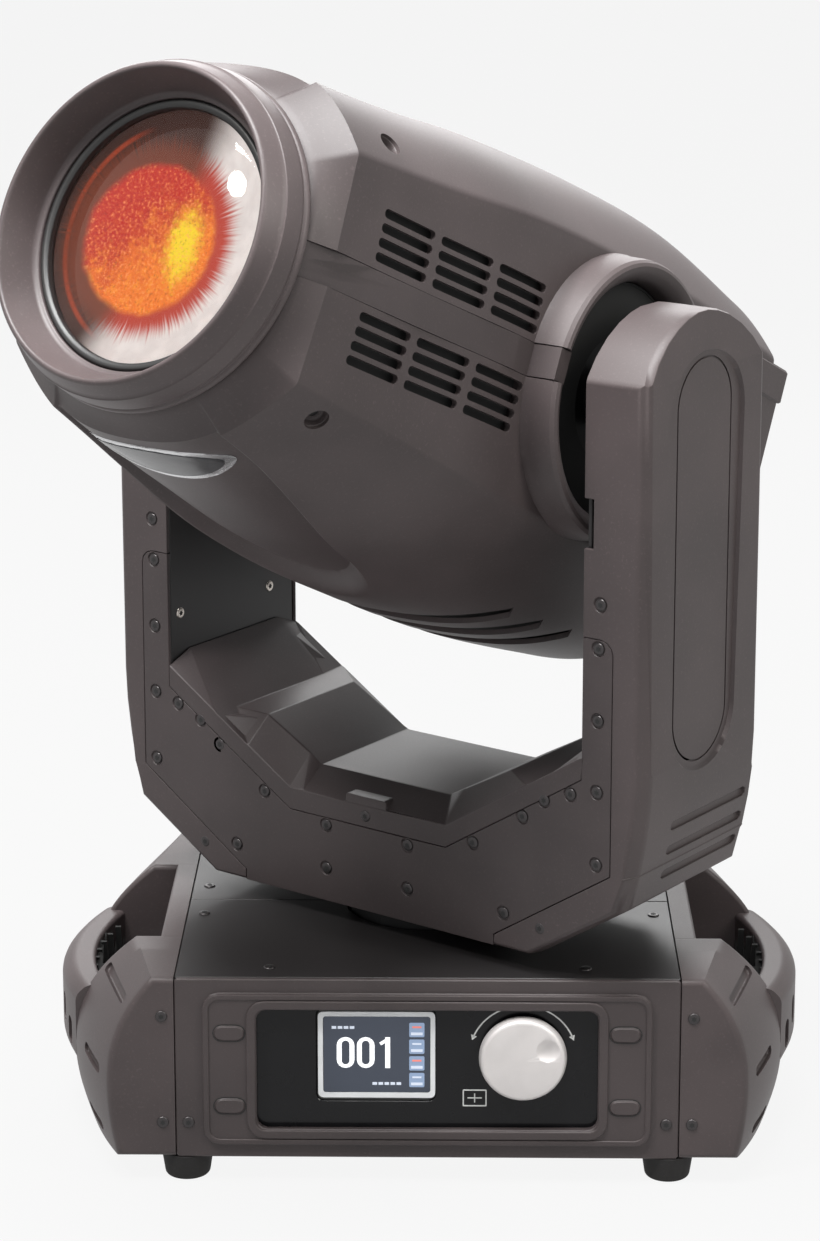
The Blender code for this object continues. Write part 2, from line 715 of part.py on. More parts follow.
def add_encoder(jog_axis, plunger_axis):
    centre = (KNOB_OFFSET, KNOB_RISE)
    place = (KNOB_OFFSET, 0, KNOB_RISE)
    case = rounded_rectangle(ENCODER_SIDE, ENCODER_SIDE, PLUNGER_THICK, centre)
    can = prism(case, CONTROLS_FACE, CONTROLS_FACE + ENCODER_DEPTH, "Y")
    body = add_piece("encoder_body", can, BLACK_METAL)
    cut(body, disc(PLUNGER_RADIUS + GAP, CONTROLS_FACE - SHEET, POCKET_FLOOR, "Y", place, SMALL_ROUND))
    bore_floor = SHAFT_END + PRESS_TRAVEL + RUN
    cut(body, disc(ENCODER_SHAFT_RADIUS + GAP, CONTROLS_FACE - SHEET, bore_floor, "Y", place, SMALL_ROUND))
    start = CONTROLS_FACE + GAP
    collar = ring(ENCODER_SHAFT_RADIUS + GAP, PLUNGER_RADIUS, 0, PLUNGER_THICK, "Y", (0, 0, 0), SMALL_ROUND)
    plunger_axis.location = (KNOB_OFFSET, start, KNOB_RISE)
    add_piece("encoder_plunger", collar, BARE_METAL, plunger_axis, True)
    jog_axis.location = (0, KNOB_BACK - start, 0)
    shaft = disc(ENCODER_SHAFT_RADIUS, GAP, SHAFT_END - KNOB_BACK, "Y", (0, 0, 0), SMALL_ROUND)
    add_piece("encoder_shaft", shaft, BARE_METAL, jog_axis, True)
    edge = KNOB_THICK / 6
    profile = [
        (0, 0),
        (KNOB_RADIUS - edge, 0),
        (KNOB_RADIUS, -edge),
        (KNOB_RADIUS, edge - KNOB_THICK),
        (KNOB_RADIUS - edge, -KNOB_THICK),
        (0, -KNOB_THICK),
    ]
    knob = add_piece("jog_knob", turned(profile, "Y"), SILVER, jog_axis, True)
    angle = math.radians(DIMPLE_ANGLE)
    bowl_radius = (DIMPLE_RADIUS**2 + DIMPLE_DEPTH**2) / (2 * DIMPLE_DEPTH)
    bowl = bmesh.new()
    bmesh.ops.create_uvsphere(bowl, u_segments=16, v_segments=16, radius=bowl_radius)
    depth = -KNOB_THICK + DIMPLE_DEPTH - bowl_radius
    spot = Vector((DIMPLE_REACH * math.cos(angle), depth, DIMPLE_REACH * math.sin(angle)))
    bmesh.ops.translate(bowl, verts=bowl.verts, vec=spot)
    cut(knob, bowl)


# Sockets on the rear panel


def add_sockets():
    face = HALF_DEPTH + FRAME_PROUD + GAP
    front, back = face + SOCKET_FLANGE_THICK, face - SOCKET_DEPTH
    centre = (INLET_OFFSET, SOCKET_RISE)
    rim, inset = 4 * SOCKET_WALL, 2 * SOCKET_WALL
    flange = rounded_rectangle(INLET_WIDTH + rim, INLET_HEIGHT + rim, SOCKET_WALL, centre)
    inlet = add_piece("power_inlet", prism(flange, face, front, "Y"), BLACK_PAINT)
    body = rounded_rectangle(INLET_WIDTH, INLET_HEIGHT, SOCKET_WALL, centre)
    join(inlet, prism(body, back, face + GAP, "Y"))
    well = rounded_rectangle(INLET_WIDTH - inset, INLET_HEIGHT - inset, SOCKET_WALL, centre)
    cut(inlet, prism(well, back + SOCKET_WALL, front + SHEET, "Y"))
    cap = FUSE_RADIUS + SOCKET_WALL
    end = front + SHEET
    profile = [(0, back), (FUSE_RADIUS, back), (FUSE_RADIUS, face), (cap, face), (cap, end), (0, end)]
    add_piece("fuse_holder", turned(profile, "Y", (FUSE_OFFSET, 0, SOCKET_RISE), SMALL_ROUND), BLACK_PAINT)
    for name, offset in zip(("dmx_in_socket", "dmx_out_socket"), XLR_OFFSETS):
        plate = rounded_rectangle(XLR_FLANGE, XLR_FLANGE, SOCKET_WALL, (offset, SOCKET_RISE))
        socket = add_piece(name, prism(plate, face, front, "Y"), BLACK_METAL)
        place = (offset, 0, SOCKET_RISE)
        join(socket, disc(XLR_RADIUS, back, face + GAP, "Y", place, SMALL_ROUND))
        well = disc(XLR_RADIUS - SOCKET_WALL, back + SOCKET_WALL, front + SHEET, "Y", place, SMALL_ROUND)
        cut(socket, well)


# Pan drive


def pan_motor_place():
    angle = math.radians(PAN_MOTOR_ANGLE)
    return PAN_MOTOR_DISTANCE * math.cos(angle), PAN_MOTOR_DISTANCE * math.sin(angle)


def belt(name, first, first_radius, second, second_radius, low, high, axis, parent=None):
    inside = belt_outline(first, first_radius + GAP, second, second_radius + GAP)
    thick = GAP + BELT_THICK
    outside = belt_outline(first, first_radius + thick, second, second_radius + thick)
    add_piece(name, hollow_prism(outside, inside, low, high, axis), RUBBER, parent)


def motor_body(side, length, low):
    """A square stepper motor with trimmed corners, standing on Z, with a bore for its shaft."""
    body = prism(rounded_rectangle(side, side, side / 10, (0, 0), 1), low, low + length)
    bore = disc(MOTOR_SHAFT_RADIUS + GAP, low + length / 2, low + 2 * length, "Z", (0, 0, 0), SMALL_ROUND)
    return body, bore


def motor_pulley_profile(low, high, shaft_end):
    return [
        (0, shaft_end),
        (MOTOR_SHAFT_RADIUS, shaft_end),
        (MOTOR_SHAFT_RADIUS, low),
        (MOTOR_PULLEY_RADIUS, low),
        (MOTOR_PULLEY_RADIUS, high),
        (0, high),
    ]


def add_pan_drive(drive_axis):
    across, along = pan_motor_place()
    inner, outer = PAN_SHAFT_RADIUS + GAP, PAN_SHAFT_RADIUS + BEARING_WALL
    bearing = ring(inner, outer, BEARING_SEAT, BEARING_SEAT + BEARING_THICK)
    add_piece("pan_bearing", bearing, BARE_METAL, None, True)
    floor = SHEET + GAP
    body, bore = motor_body(MOTOR_SIDE, MOTOR_LENGTH, floor)
    for shape in (body, bore):
        bmesh.ops.translate(shape, verts=shape.verts, vec=(across, along, 0))
    motor = add_piece("pan_motor", body, BLACK_METAL)
    cut(motor, bore)
    drive_axis.location = (across, along, 0)
    low, high = PAN_PULLEY_SEAT, PAN_PULLEY_SEAT + PULLEY_THICK
    profile = motor_pulley_profile(low, high, floor + MOTOR_LENGTH / 2 + GAP)
    add_piece("pan_motor_pulley", turned(profile, steps=SMALL_ROUND), BARE_METAL, drive_axis, True)
    middle = (low + high) / 2
    start, end = middle - BELT_WIDTH / 2, middle + BELT_WIDTH / 2
    belt("pan_belt", (0, 0), PAN_PULLEY_RADIUS, (across, along), MOTOR_PULLEY_RADIUS, start, end, "Z")


# Yoke


def add_pan_shaft(yoke):
    top = YOKE_BOTTOM - GAP
    profile = [
        (0, PAN_SHAFT_FOOT),
        (PAN_SHAFT_RADIUS, PAN_SHAFT_FOOT),
        (PAN_SHAFT_RADIUS, NECK_SEAT),
        (NECK_RADIUS, NECK_SEAT),
        (NECK_RADIUS, top),
        (0, top),
    ]
    add_piece("pan_shaft", turned(profile), BLACK_METAL, yoke, True)
    pulley = ring(PAN_SHAFT_RADIUS + GAP, PAN_PULLEY_RADIUS, PAN_PULLEY_SEAT, PAN_PULLEY_SEAT + PULLEY_THICK)
    add_piece("pan_pulley", pulley, BARE_METAL, yoke, True)


def plate_outline(margin=0.0):
    """The front or rear plate seen square on, grown by a margin where it meets the arm covers."""
    corner = 0.4 * (ARM_SEAM - ARM_INNER)
    right = [
        (SEAM_LOW + margin, YOKE_BOTTOM - margin),
        (SEAM_LOW + margin, SEAM_LOW_HEIGHT - margin),
        (ARM_SEAM + margin, SEAM_HIGH_HEIGHT - margin),
    ]
    right += arc((ARM_SEAM - corner, PLATE_TOP - corner), corner + margin, 0, 90, 3)
    right += [
        (ARM_INNER, PLATE_TOP + margin),
        (ARM_INNER, PLATE_SHOULDER),
        (PLATE_VALLEY_HALF, PLATE_VALLEY),
    ]
    return mirrored(right)


def add_yoke_plates(yoke):
    depth = YOKE_HALF_DEPTH
    for name, side in (("yoke_front_plate", -1), ("yoke_rear_plate", 1)):
        add_piece(name, prism(plate_outline(), side * depth, side * (depth - SHEET), "Y"), CHARCOAL, yoke)
    across, along = SEAM_LOW - GAP, depth - SHEET - GAP
    top = YOKE_BOTTOM + SHEET
    slab = box((-across, -along, YOKE_BOTTOM), (across, along, top))
    plate = add_piece("yoke_base_plate", slab, BLACK_METAL, yoke)
    reach = TILT_MOTOR_SIDE / 2 + SHEET
    height = TILT_MOTOR_HEIGHT + reach
    join(plate, box((across - 2 * SHEET, -reach, top - SHEET / 2), (across - SHEET, reach, height)))


def floor_section(place):
    """The floor cover across the yoke: a sheet with a flat middle, sloped sides and upright edges."""
    reach = ARM_INNER - GAP
    seam = between([(PLATE_VALLEY_HALF, PLATE_VALLEY), (ARM_INNER, PLATE_SHOULDER)], abs(place)) + GAP
    fold = seam + RIM_HEIGHT
    keys = [(FLOOR_HALF, FLOOR_HEIGHT), (STEP_INNER, STEP_HEIGHT), (STEP_OUTER, STEP_HEIGHT)]
    keys.append((reach, FLOOR_SHOULDER))
    top = between(keys, abs(place))
    edge = YOKE_HALF_DEPTH
    outside = [(edge, seam), (edge, fold), (FLOOR_HALF_DEPTH, top)]
    inner = edge - FLOOR_WALL
    inside = [(FLOOR_HALF_DEPTH, top - FLOOR_WALL), (inner, fold - FLOOR_WALL / 2), (inner, seam)]
    left = [(-across, height) for across, height in reversed(outside)]
    under = [(-across, height) for across, height in reversed(inside)]
    return outside + left + under + inside


def add_floor_cover(yoke):
    reach = ARM_INNER - GAP
    stops = (reach, STEP_OUTER, STEP_INNER, PLATE_VALLEY_HALF, FLOOR_HALF)
    places = [-stop for stop in stops] + list(reversed(stops))
    rings = [[(place, across, height) for across, height in floor_section(place)] for place in places]
    cover = add_piece("yoke_floor_cover", lofted(rings), CHARCOAL, yoke)
    low, high = PLATE_VALLEY + 2 * GAP, PLATE_VALLEY + RIM_HEIGHT + TAB_RISE
    depth = YOKE_HALF_DEPTH - GAP
    tab = rounded_rectangle(TAB_WIDTH, high - low, TAB_RISE / 3, (TAB_OFFSET, (low + high) / 2))
    join(cover, prism(tab, -depth, -FLOOR_HALF_DEPTH, "Y"))


def arm_profile(height):
    """Where an arm's outer face starts to be chamfered, at a height."""
    face = ARM_OUTER - ARM_CHAMFER_SIDE
    foot = ARM_ARCH_CENTRE + math.sqrt(ARM_ARCH_RADIUS**2 - YOKE_HALF_DEPTH**2)
    top = ARM_ARCH_CENTRE + ARM_ARCH_RADIUS
    if height <= CORNER_HEIGHT:
        return between([(YOKE_BOTTOM, CORNER_LOW), (CORNER_HEIGHT, CORNER_HIGH)], height)
    if height <= FLARE_HEIGHT:
        share = (height - CORNER_HEIGHT) / (FLARE_HEIGHT - CORNER_HEIGHT)
        return face - (face - CORNER_HIGH) * (1 - share) ** 1.8
    return between([(foot, face), (top, face - ARM_TOP_LEAN)], height)


def arm_half_depth(height, wall):
    rise = max(0.0, height - ARM_ARCH_CENTRE)
    arch = math.sqrt((ARM_ARCH_RADIUS - wall) ** 2 - rise**2)
    return min(YOKE_HALF_DEPTH - wall, arch)


def arm_section(side, height, inner, wall=0.0):
    """An arm's six-sided section at a height, shrunk by a wall; its front cut widens towards the foot."""
    corner = arm_profile(max(YOKE_BOTTOM, height - wall)) - wall
    face = corner + ARM_CHAMFER_SIDE
    depth = arm_half_depth(height, wall)
    front = between([(FLARE_HEIGHT, ARM_CHAMFER_LOW), (ARM_ARCH_CENTRE, ARM_CHAMFER_TOP)], height)
    rear = min(ARM_CHAMFER_TOP, depth / 2)
    outline = [(inner, depth), (corner, depth), (face, depth - rear)]
    outline += [(face, min(front, depth / 2) - depth), (corner, -depth), (inner, -depth)]
    return [(side * across, along, height) for across, along in outline]


def arm_heights(bottom, wall):
    radius = ARM_ARCH_RADIUS - wall
    arch = [ARM_ARCH_CENTRE + radius * math.sin(math.radians(angle)) for angle in (33.7, 45, 56, 66, 75, 83)]
    flare = [CORNER_HEIGHT + (FLARE_HEIGHT - CORNER_HEIGHT) * share for share in (0.0, 0.25, 0.5, 0.75, 1.0)]
    return [bottom] + flare + [ARM_ARCH_CENTRE] + arch


def obround_upright(width, low, high):
    """An upright slot outline as (across, height) points."""
    return [(across, height) for height, across in obround(high - low, width, ((low + high) / 2, 0))]


def add_arm_cover(name, side, yoke):
    seam = SEAM_LOW + GAP
    lower = [arm_section(side, height, seam) for height in (YOKE_BOTTOM, CORNER_HEIGHT, SEAM_HIGH_HEIGHT)]
    upper = [arm_section(side, height, ARM_INNER) for height in arm_heights(CORNER_HEIGHT - SHEET, 0.0)]
    cover = add_piece(name, lofted(upper), CHARCOAL, yoke)
    join(cover, lofted(lower))
    heights = arm_heights(YOKE_BOTTOM + ARM_WALL, ARM_WALL)
    cut(cover, lofted([arm_section(side, height, SEAM_LOW - SHEET, ARM_WALL) for height in heights]))
    for end in (-1, 1):
        start, stop = end * (YOKE_HALF_DEPTH - SHEET - GAP), end * (YOKE_HALF_DEPTH + SHEET)
        cut(cover, prism(plate_outline(GAP), start, stop, "Y"))
    add_arm_grooves(cover, side)
    return cover


def arm_flutes(side):
    """Short level grooves across the foot of an arm's outer face."""
    flutes = []
    for number in range(FLUTE_COUNT):
        height = FLUTE_TOP - number * FLUTE_PITCH
        floor = arm_profile(height - FLUTE_HEIGHT / 2) + ARM_CHAMFER_SIDE - FLUTE_DEPTH
        near, far = sorted((side * floor, side * (floor + 4 * FLUTE_DEPTH)))
        centre = ((FLUTE_FRONT + FLUTE_REAR) / 2, height)
        flutes.append(prism(obround(FLUTE_REAR - FLUTE_FRONT, FLUTE_HEIGHT, centre, 3), near, far, "X"))
    return flutes


def add_arm_grooves(cover, side):
    """The inset panel on an arm's outer face, the flutes below it and the right arm's tilt lock slot."""
    deep = side * (ARM_OUTER - INSET_DEPTH)
    past = side * (ARM_OUTER + SHEET)
    outside = obround_upright(2 * INSET_HALF_WIDTH, INSET_BOTTOM, INSET_TOP)
    width = INSET_HALF_WIDTH - INSET_GROOVE
    inside = obround_upright(2 * width, INSET_BOTTOM + INSET_GROOVE, INSET_TOP - INSET_GROOVE)
    cutters = [hollow_prism(outside, inside, deep, past, "X")] + arm_flutes(side)
    if side > 0:
        front = -YOKE_HALF_DEPTH - SHEET
        low = (ARM_INNER - SHEET, front, LOCK_SLOT_LOW)
        high = (ARM_INNER + LOCK_SLOT_WIDTH, front + 3 * SHEET, LOCK_SLOT_HIGH)
        cutters.append(box(low, high))
    cut(cover, merged(cutters))


def arm_plate_outline(margin):
    """The plate that closes an arm, inside the cover's walls and arch."""
    right = [(YOKE_HALF_DEPTH - ARM_WALL - margin, PLATE_SHOULDER)]
    for height in arm_heights(PLATE_SHOULDER, ARM_WALL):
        if height > ARM_ARCH_CENTRE:
            right.append((arm_half_depth(height, ARM_WALL) - margin, height - margin))
    return mirrored(right)


def add_arm_plate(name, bearing_name, side, yoke):
    inner, outer = ARM_INNER + GAP, ARM_INNER + GAP + INNER_PLATE_THICK
    near, far = sorted((side * inner, side * outer))
    plate = add_piece(name, prism(arm_plate_outline(2 * GAP), near, far, "X"), BLACK_PAINT, yoke)
    radius = TILT_SHAFT_RADIUS + TILT_BEARING_WALL
    place = (0, 0, TILT_HEIGHT)
    cut(plate, disc(radius + GAP, near - SHEET, far + SHEET, "X", place))
    near, far = sorted((side * inner, side * (inner + TILT_BEARING_THICK)))
    bearing = ring(TILT_SHAFT_RADIUS + GAP, radius, near, far, "X", place)
    add_piece(bearing_name, bearing, BARE_METAL, yoke, True)


# Tilt drive

TILT_PULLEY_START = ARM_INNER + 2 * GAP + TILT_BEARING_THICK
TILT_PULLEY_END = TILT_PULLEY_START + TILT_PULLEY_THICK
TILT_SHAFT_SEAT = PIVOT_PLATE_OUTER - SHEET


def add_tilt_drive(yoke, drive_axis):
    height = TILT_MOTOR_HEIGHT
    bracket = SEAM_LOW - GAP - SHEET
    body, bore = motor_body(TILT_MOTOR_SIDE, TILT_MOTOR_LENGTH, bracket + GAP)
    for shape in (body, bore):
        turn = Matrix.Translation((0, 0, height)) @ DIRECTIONS["X"]
        bmesh.ops.transform(shape, matrix=turn, verts=shape.verts)
    motor = add_piece("tilt_motor", body, BLACK_METAL, yoke)
    cut(motor, bore)
    drive_axis.location = (0, 0, height)
    shaft_end = bracket + TILT_MOTOR_LENGTH / 2 + 2 * GAP
    profile = motor_pulley_profile(TILT_PULLEY_START, TILT_PULLEY_END, shaft_end)
    add_piece("tilt_motor_pulley", turned(profile, "X", steps=SMALL_ROUND), BARE_METAL, drive_axis, True)
    edge = (TILT_PULLEY_THICK - BELT_WIDTH * 0.8) / 2
    start, end = TILT_PULLEY_START + edge, TILT_PULLEY_END - edge
    wheels = (0, TILT_HEIGHT), TILT_PULLEY_RADIUS, (0, height), MOTOR_PULLEY_RADIUS
    belt("tilt_belt", *wheels, start, end, "X", yoke)


# Head: modelled about its tilt axis, with the beam along -Y


def head_size(place, level=1):
    """Half width, height of the sides' edge, crown height and squareness, above or below the tilt axis."""
    crown = 3 if level > 0 else 4
    sizes = []
    for column in (1, 2, crown, 5):
        keys = [(section[0], section[column]) for section in reversed(HEAD_SECTIONS)]
        sizes.append(between(keys, place))
    if level < 0:
        sizes[-1] = UNDERSIDE_SQUARENESS
    return sizes


def head_outline(place, level, low, inset=0.0, steps=5):
    """Half of the head's section as (across, height) points, from one side over the crown to the other."""
    width, edge, crown, squareness = head_size(place, level)
    shoulder = width - SIDE_LEAN * (edge - BAND_HALF) - inset
    points = [(width - inset, level * low)]
    for step in range(steps):
        angle = math.pi / 2 * step / steps
        across = shoulder * math.cos(angle) ** (2 / squareness)
        height = edge + (crown - inset - edge) * math.sin(angle) ** (2 / squareness)
        points.append((across, level * height))
    points.append((0.0, level * (crown - inset)))
    return points + [(-across, height) for across, height in reversed(points[:-1])]


def head_places(front, rear):
    return [front] + [section[0] for section in HEAD_SECTIONS[1:-1]] + [rear]


def head_loft(level, low, front, rear, inset=0.0):
    """The solid upper (level 1) or lower (level -1) half of the head."""
    rings = []
    for place in head_places(front, rear):
        rings.append([(across, -place, height) for across, height in head_outline(place, level, low, inset)])
    return lofted(rings)


def louvres():
    """Swept slots across the underside of the head, one behind the other."""
    slots = []
    for number in range(LOUVRE_COUNT):
        middle = LOUVRE_FIRST - number * LOUVRE_PITCH
        front, rear = [], []
        for step in range(-3, 4):
            across = LOUVRE_REACH * step / 3
            place = middle - LOUVRE_SWEEP * (step / 3) ** 2
            front.append((across, -place - LOUVRE_WIDTH / 2))
            rear.append((across, LOUVRE_WIDTH / 2 - place))
        slots.append(prism(front + rear[::-1], -2 * TILT_FLANGE_RADIUS - LOUVRE_WIDTH, -2 * COLLAR_RADIUS))
    return slots


def vent_slots(level):
    slots = []
    for column in range(VENT_COLUMNS):
        front = VENT_FRONT - column * VENT_PITCH
        for row in range(VENT_ROWS):
            low = VENT_LOWEST - VENT_HEIGHT / 2 + row * VENT_ROW_PITCH
            near, far = sorted((level * low, level * (low + VENT_HEIGHT)))
            slots.append(box((-ARM_INNER, -front, near), (ARM_INNER, VENT_LENGTH - front, far)))
    return slots


def add_head_cover(name, level, head):
    cover = add_piece(name, head_loft(level, BAND_HALF, SHELL_FRONT, SHELL_REAR), CHARCOAL, head)
    for side in (-1, 1):
        near, far = side * (head_size(0)[0] - 2 * SHELL_WALL), side * COLLAR_REACH
        edge = side * (COLLAR_REACH - COLLAR_ROUND)
        profile = [
            (COLLAR_BORE - SHELL_WALL, near),
            (COLLAR_RADIUS, near),
            (COLLAR_RADIUS, edge),
            (COLLAR_RADIUS - COLLAR_ROUND, far),
            (COLLAR_BORE - SHELL_WALL, far),
        ]
        join(cover, turned(profile, "X"))
    cut(cover, head_loft(level, -SHELL_WALL, SHELL_FRONT + SHELL_WALL, SHELL_REAR + SHELL_WALL, SHELL_WALL))
    cut(cover, disc(COLLAR_BORE, -ARM_INNER, ARM_INNER, "X"))
    near, far = sorted((level * BAND_HALF, -level * COLLAR_RADIUS * 2))
    cut(cover, box((-ARM_INNER, -COLLAR_RADIUS * 2, near), (ARM_INNER, COLLAR_RADIUS * 2, far)))
    near, far = sorted((-level * BAND_HALF, level * (REAR_SEAM + GAP)))
    cut(cover, box((-ARM_INNER, -REAR_COVER_FRONT - GAP, near), (ARM_INNER, 2 * -SHELL_REAR, far)))
    cut(cover, merged(vent_slots(level) + (louvres() if level < 0 else [])))
    return cover


def bulkhead(place, bore):
    """A plate across the head, following its section inside the covers."""
    inset = SHELL_WALL + 2 * RUN
    front = place + BULKHEAD_THICK
    outline = head_outline(front, 1, BAND_HALF, inset, 3)
    outline += head_outline(front, -1, BAND_HALF, inset, 3)[::-1]
    return prism(outline, -place, -front, "Y"), disc(bore, place - SHEET, front + SHEET, "BEAM")


def side_rail(side):
    """The band between the covers, from the front of the shell to the rear cover."""
    height = BAND_HALF - GAP
    rings = []
    for place in head_places(SHELL_FRONT, REAR_COVER_FRONT + 2 * GAP):
        if place < REAR_COVER_FRONT:
            continue
        outer = head_size(place)[0]
        inner = outer - RAIL_THICK
        section = [(inner, -height), (outer, -height), (outer, height), (inner, height)]
        rings.append([(side * across, -place, level) for across, level in section])
    return lofted(rings)


def pivot_shapes(side):
    """A pivot plate and the two blocks that carry the band out between the collar halves."""
    shapes = [disc(COLLAR_BORE - SHELL_WALL, side * PIVOT_PLATE_INNER, side * PIVOT_PLATE_OUTER, "X")]
    height = BAND_HALF - 2 * GAP
    near, far = sorted((side * (PIVOT_PLATE_OUTER + GAP), side * (COLLAR_REACH - SHELL_WALL)))
    for end in (-1, 1):
        low, high = sorted((end * (COLLAR_BORE + SHELL_WALL), end * (COLLAR_RADIUS - SHELL_WALL)))
        shapes.append(box((near, low, -height), (far, high, height)))
    return shapes


def frame_rods():
    """The focus carriage's guide rods and the wheels' axle."""
    start, end = MIDDLE_BULKHEAD + BULKHEAD_THICK / 2, SHELL_FRONT - BULKHEAD_THICK * 1.5
    rods = []
    for side in (-1, 1):
        rods.append(disc(ROD_RADIUS, start, end, "BEAM", (0, 0, side * ROD_SPREAD), SMALL_ROUND))
    end = MIDDLE_BULKHEAD - WHEEL_SPACING * 2 - WHEEL_THICK
    rods.append(disc(WHEEL_AXLE_RADIUS, end, start, "BEAM", (WHEEL_OFFSET, 0, 0), SMALL_ROUND))
    return rods


def add_head_frame(head):
    front, front_bore = bulkhead(SHELL_FRONT - 2 * BULKHEAD_THICK, FRONT_PLATE_BORE)
    middle, middle_bore = bulkhead(MIDDLE_BULKHEAD, WHEEL_HOLE_RADIUS * 2)
    rear, rear_bore = bulkhead(REAR_BULKHEAD, LAMP_RADIUS * 2)
    frame = add_piece("head_frame", front, BLACK_METAL, head)
    joined = [middle, rear, side_rail(-1), side_rail(1)] + pivot_shapes(-1) + pivot_shapes(1) + frame_rods()
    for shape in joined:
        join(frame, shape)
    bores = [front_bore, middle_bore, rear_bore]
    for side in (-1, 1):
        bores.append(disc(TILT_FLANGE_RADIUS + RUN, side * TILT_SHAFT_SEAT, side * ARM_INNER, "X"))
    cut(frame, merged(bores))


def rear_outline(proud):
    """The rear cover in plan: two sides and the rear wall, as (across, along) points."""
    front = -REAR_COVER_FRONT
    rear = -HEAD_REAR
    wide, narrow = head_size(REAR_COVER_FRONT)[0] + proud, head_size(SHELL_REAR)[0] + proud
    back = rear + proud
    wall = SHELL_WALL + REAR_INSET
    right = [(wide, front), (narrow, back)]
    left = [(-narrow, back), (-wide, front)]
    end = rear - wall
    inner = [(-wide + wall, front), (-narrow + wall, end), (narrow - wall, end), (wide - wall, front)]
    return right + left + inner


def add_rear_cover(head):
    top = REAR_SEAM
    cover = add_piece("head_rear_cover", prism(rear_outline(-REAR_INSET), -top, top), CHARCOAL, head)
    for level in (-1, 1):
        near, far = sorted((level * (top - REAR_STRIP), level * (top - GAP)))
        join(cover, prism(rear_outline(-GAP), near, far))
    slots = []
    for number in range(REAR_SLOTS):
        height = (number - (REAR_SLOTS - 1) / 2) * REAR_SLOT_PITCH
        outline = obround(REAR_SLOT_LENGTH, REAR_SLOT_WIDTH, (0, height), 5)
        slots.append(prism(outline, -HEAD_REAR - 4 * SHELL_WALL, -HEAD_REAR + SHELL_WALL, "Y"))
    cut(cover, merged(slots))
    start, end = HEAD_REAR + SHELL_WALL, FAN_CENTRE - FAN_DEPTH / 2
    join(cover, disc(FAN_HUB_RADIUS / 2, start, end, "BEAM", steps=SMALL_ROUND))


def add_optics(head):
    back = SHELL_FRONT + GAP
    seat = LENS_RADIUS + LENS_RING_WALL
    bezel = [
        (RIM_INNER, HEAD_FRONT),
        (RIM_RADIUS, HEAD_FRONT),
        (BEZEL_STEP_RADIUS, BEZEL_STEP),
        (BEZEL_BACK_RADIUS, back + SHELL_WALL),
        (BEZEL_BACK_RADIUS, back),
        (seat + GAP, back),
        (seat + GAP, LENS_FRONT + LENS_EDGE),
    ]
    add_piece("front_bezel", turned(bezel, "BEAM", steps=FINE_ROUND), CHARCOAL, head, True)
    start = SHELL_FRONT - BULKHEAD_THICK + GAP
    retainer = ring(LENS_RADIUS + GAP, seat, start, start + LENS_RING_LENGTH, "BEAM", steps=FINE_ROUND)
    add_piece("lens_ring", retainer, BLACK_METAL, head, True)
    rear = LENS_FRONT - LENS_EDGE
    lens = [(0, rear), (LENS_RADIUS, rear), (LENS_RADIUS, LENS_FRONT)]
    for step in range(1, 5):
        angle = math.pi / 2 * step / 4
        lens.append((LENS_RADIUS * math.cos(angle), LENS_FRONT + LENS_BULGE * math.sin(angle) ** 1.5))
    lens[-1] = (0, LENS_FRONT + LENS_BULGE)
    add_piece("front_lens", turned(lens, "BEAM", steps=FINE_ROUND), GLASS, head, True)


def add_lamp(head):
    start = REAR_BULKHEAD + BULKHEAD_THICK + GAP
    shoulder = start + LAMP_BASE_LENGTH
    tip = shoulder + LAMP_LENGTH
    lamp = [
        (0, start),
        (LAMP_BASE_RADIUS, start),
        (LAMP_BASE_RADIUS, shoulder),
        (LAMP_RADIUS, shoulder),
        (LAMP_RADIUS, tip - LAMP_RADIUS),
        (LAMP_RADIUS / 2, tip),
        (0, tip),
    ]
    add_piece("lamp", turned(lamp, "BEAM", steps=SMALL_ROUND), GLASS, head, True)
    seat = shoulder + GAP
    throat = LAMP_RADIUS + REFLECTOR_WALL
    inside, outside = [], []
    for step in range(4):
        radius = throat + (REFLECTOR_RADIUS - throat) * step / 3
        depth = seat + REFLECTOR_DEPTH * ((radius - throat) / (REFLECTOR_RADIUS - throat)) ** 2
        inside.append((radius, depth + REFLECTOR_WALL))
        outside.append((radius + REFLECTOR_WALL, depth))
    bowl = inside + list(reversed(outside)) + [(throat, seat)]
    add_piece("reflector", turned(bowl, "BEAM"), MIRROR, head, True)


def add_focus(carriage_axis):
    carriage_axis.location = (0, -CARRIAGE_REST, 0)
    half = CARRIAGE_THICK / 2
    shape = ring(FOCUS_LENS_RADIUS + GAP, CARRIAGE_RADIUS, -half, half, "BEAM")
    carriage = add_piece("focus_carriage", shape, BLACK_METAL, carriage_axis)
    holes = []
    for side in (-1, 1):
        place = (0, 0, side * ROD_SPREAD)
        holes.append(disc(ROD_RADIUS + RUN, -2 * half, 2 * half, "BEAM", place, SMALL_ROUND))
    cut(carriage, merged(holes))
    edge = FOCUS_LENS_THICK / 4
    lens = [
        (0, -FOCUS_LENS_THICK / 2),
        (FOCUS_LENS_RADIUS / 2, -FOCUS_LENS_THICK * 0.4),
        (FOCUS_LENS_RADIUS, -edge),
        (FOCUS_LENS_RADIUS, edge),
        (FOCUS_LENS_RADIUS / 2, FOCUS_LENS_THICK * 0.4),
        (0, FOCUS_LENS_THICK / 2),
    ]
    add_piece("focus_lens", turned(lens, "BEAM"), GLASS, carriage_axis, True)


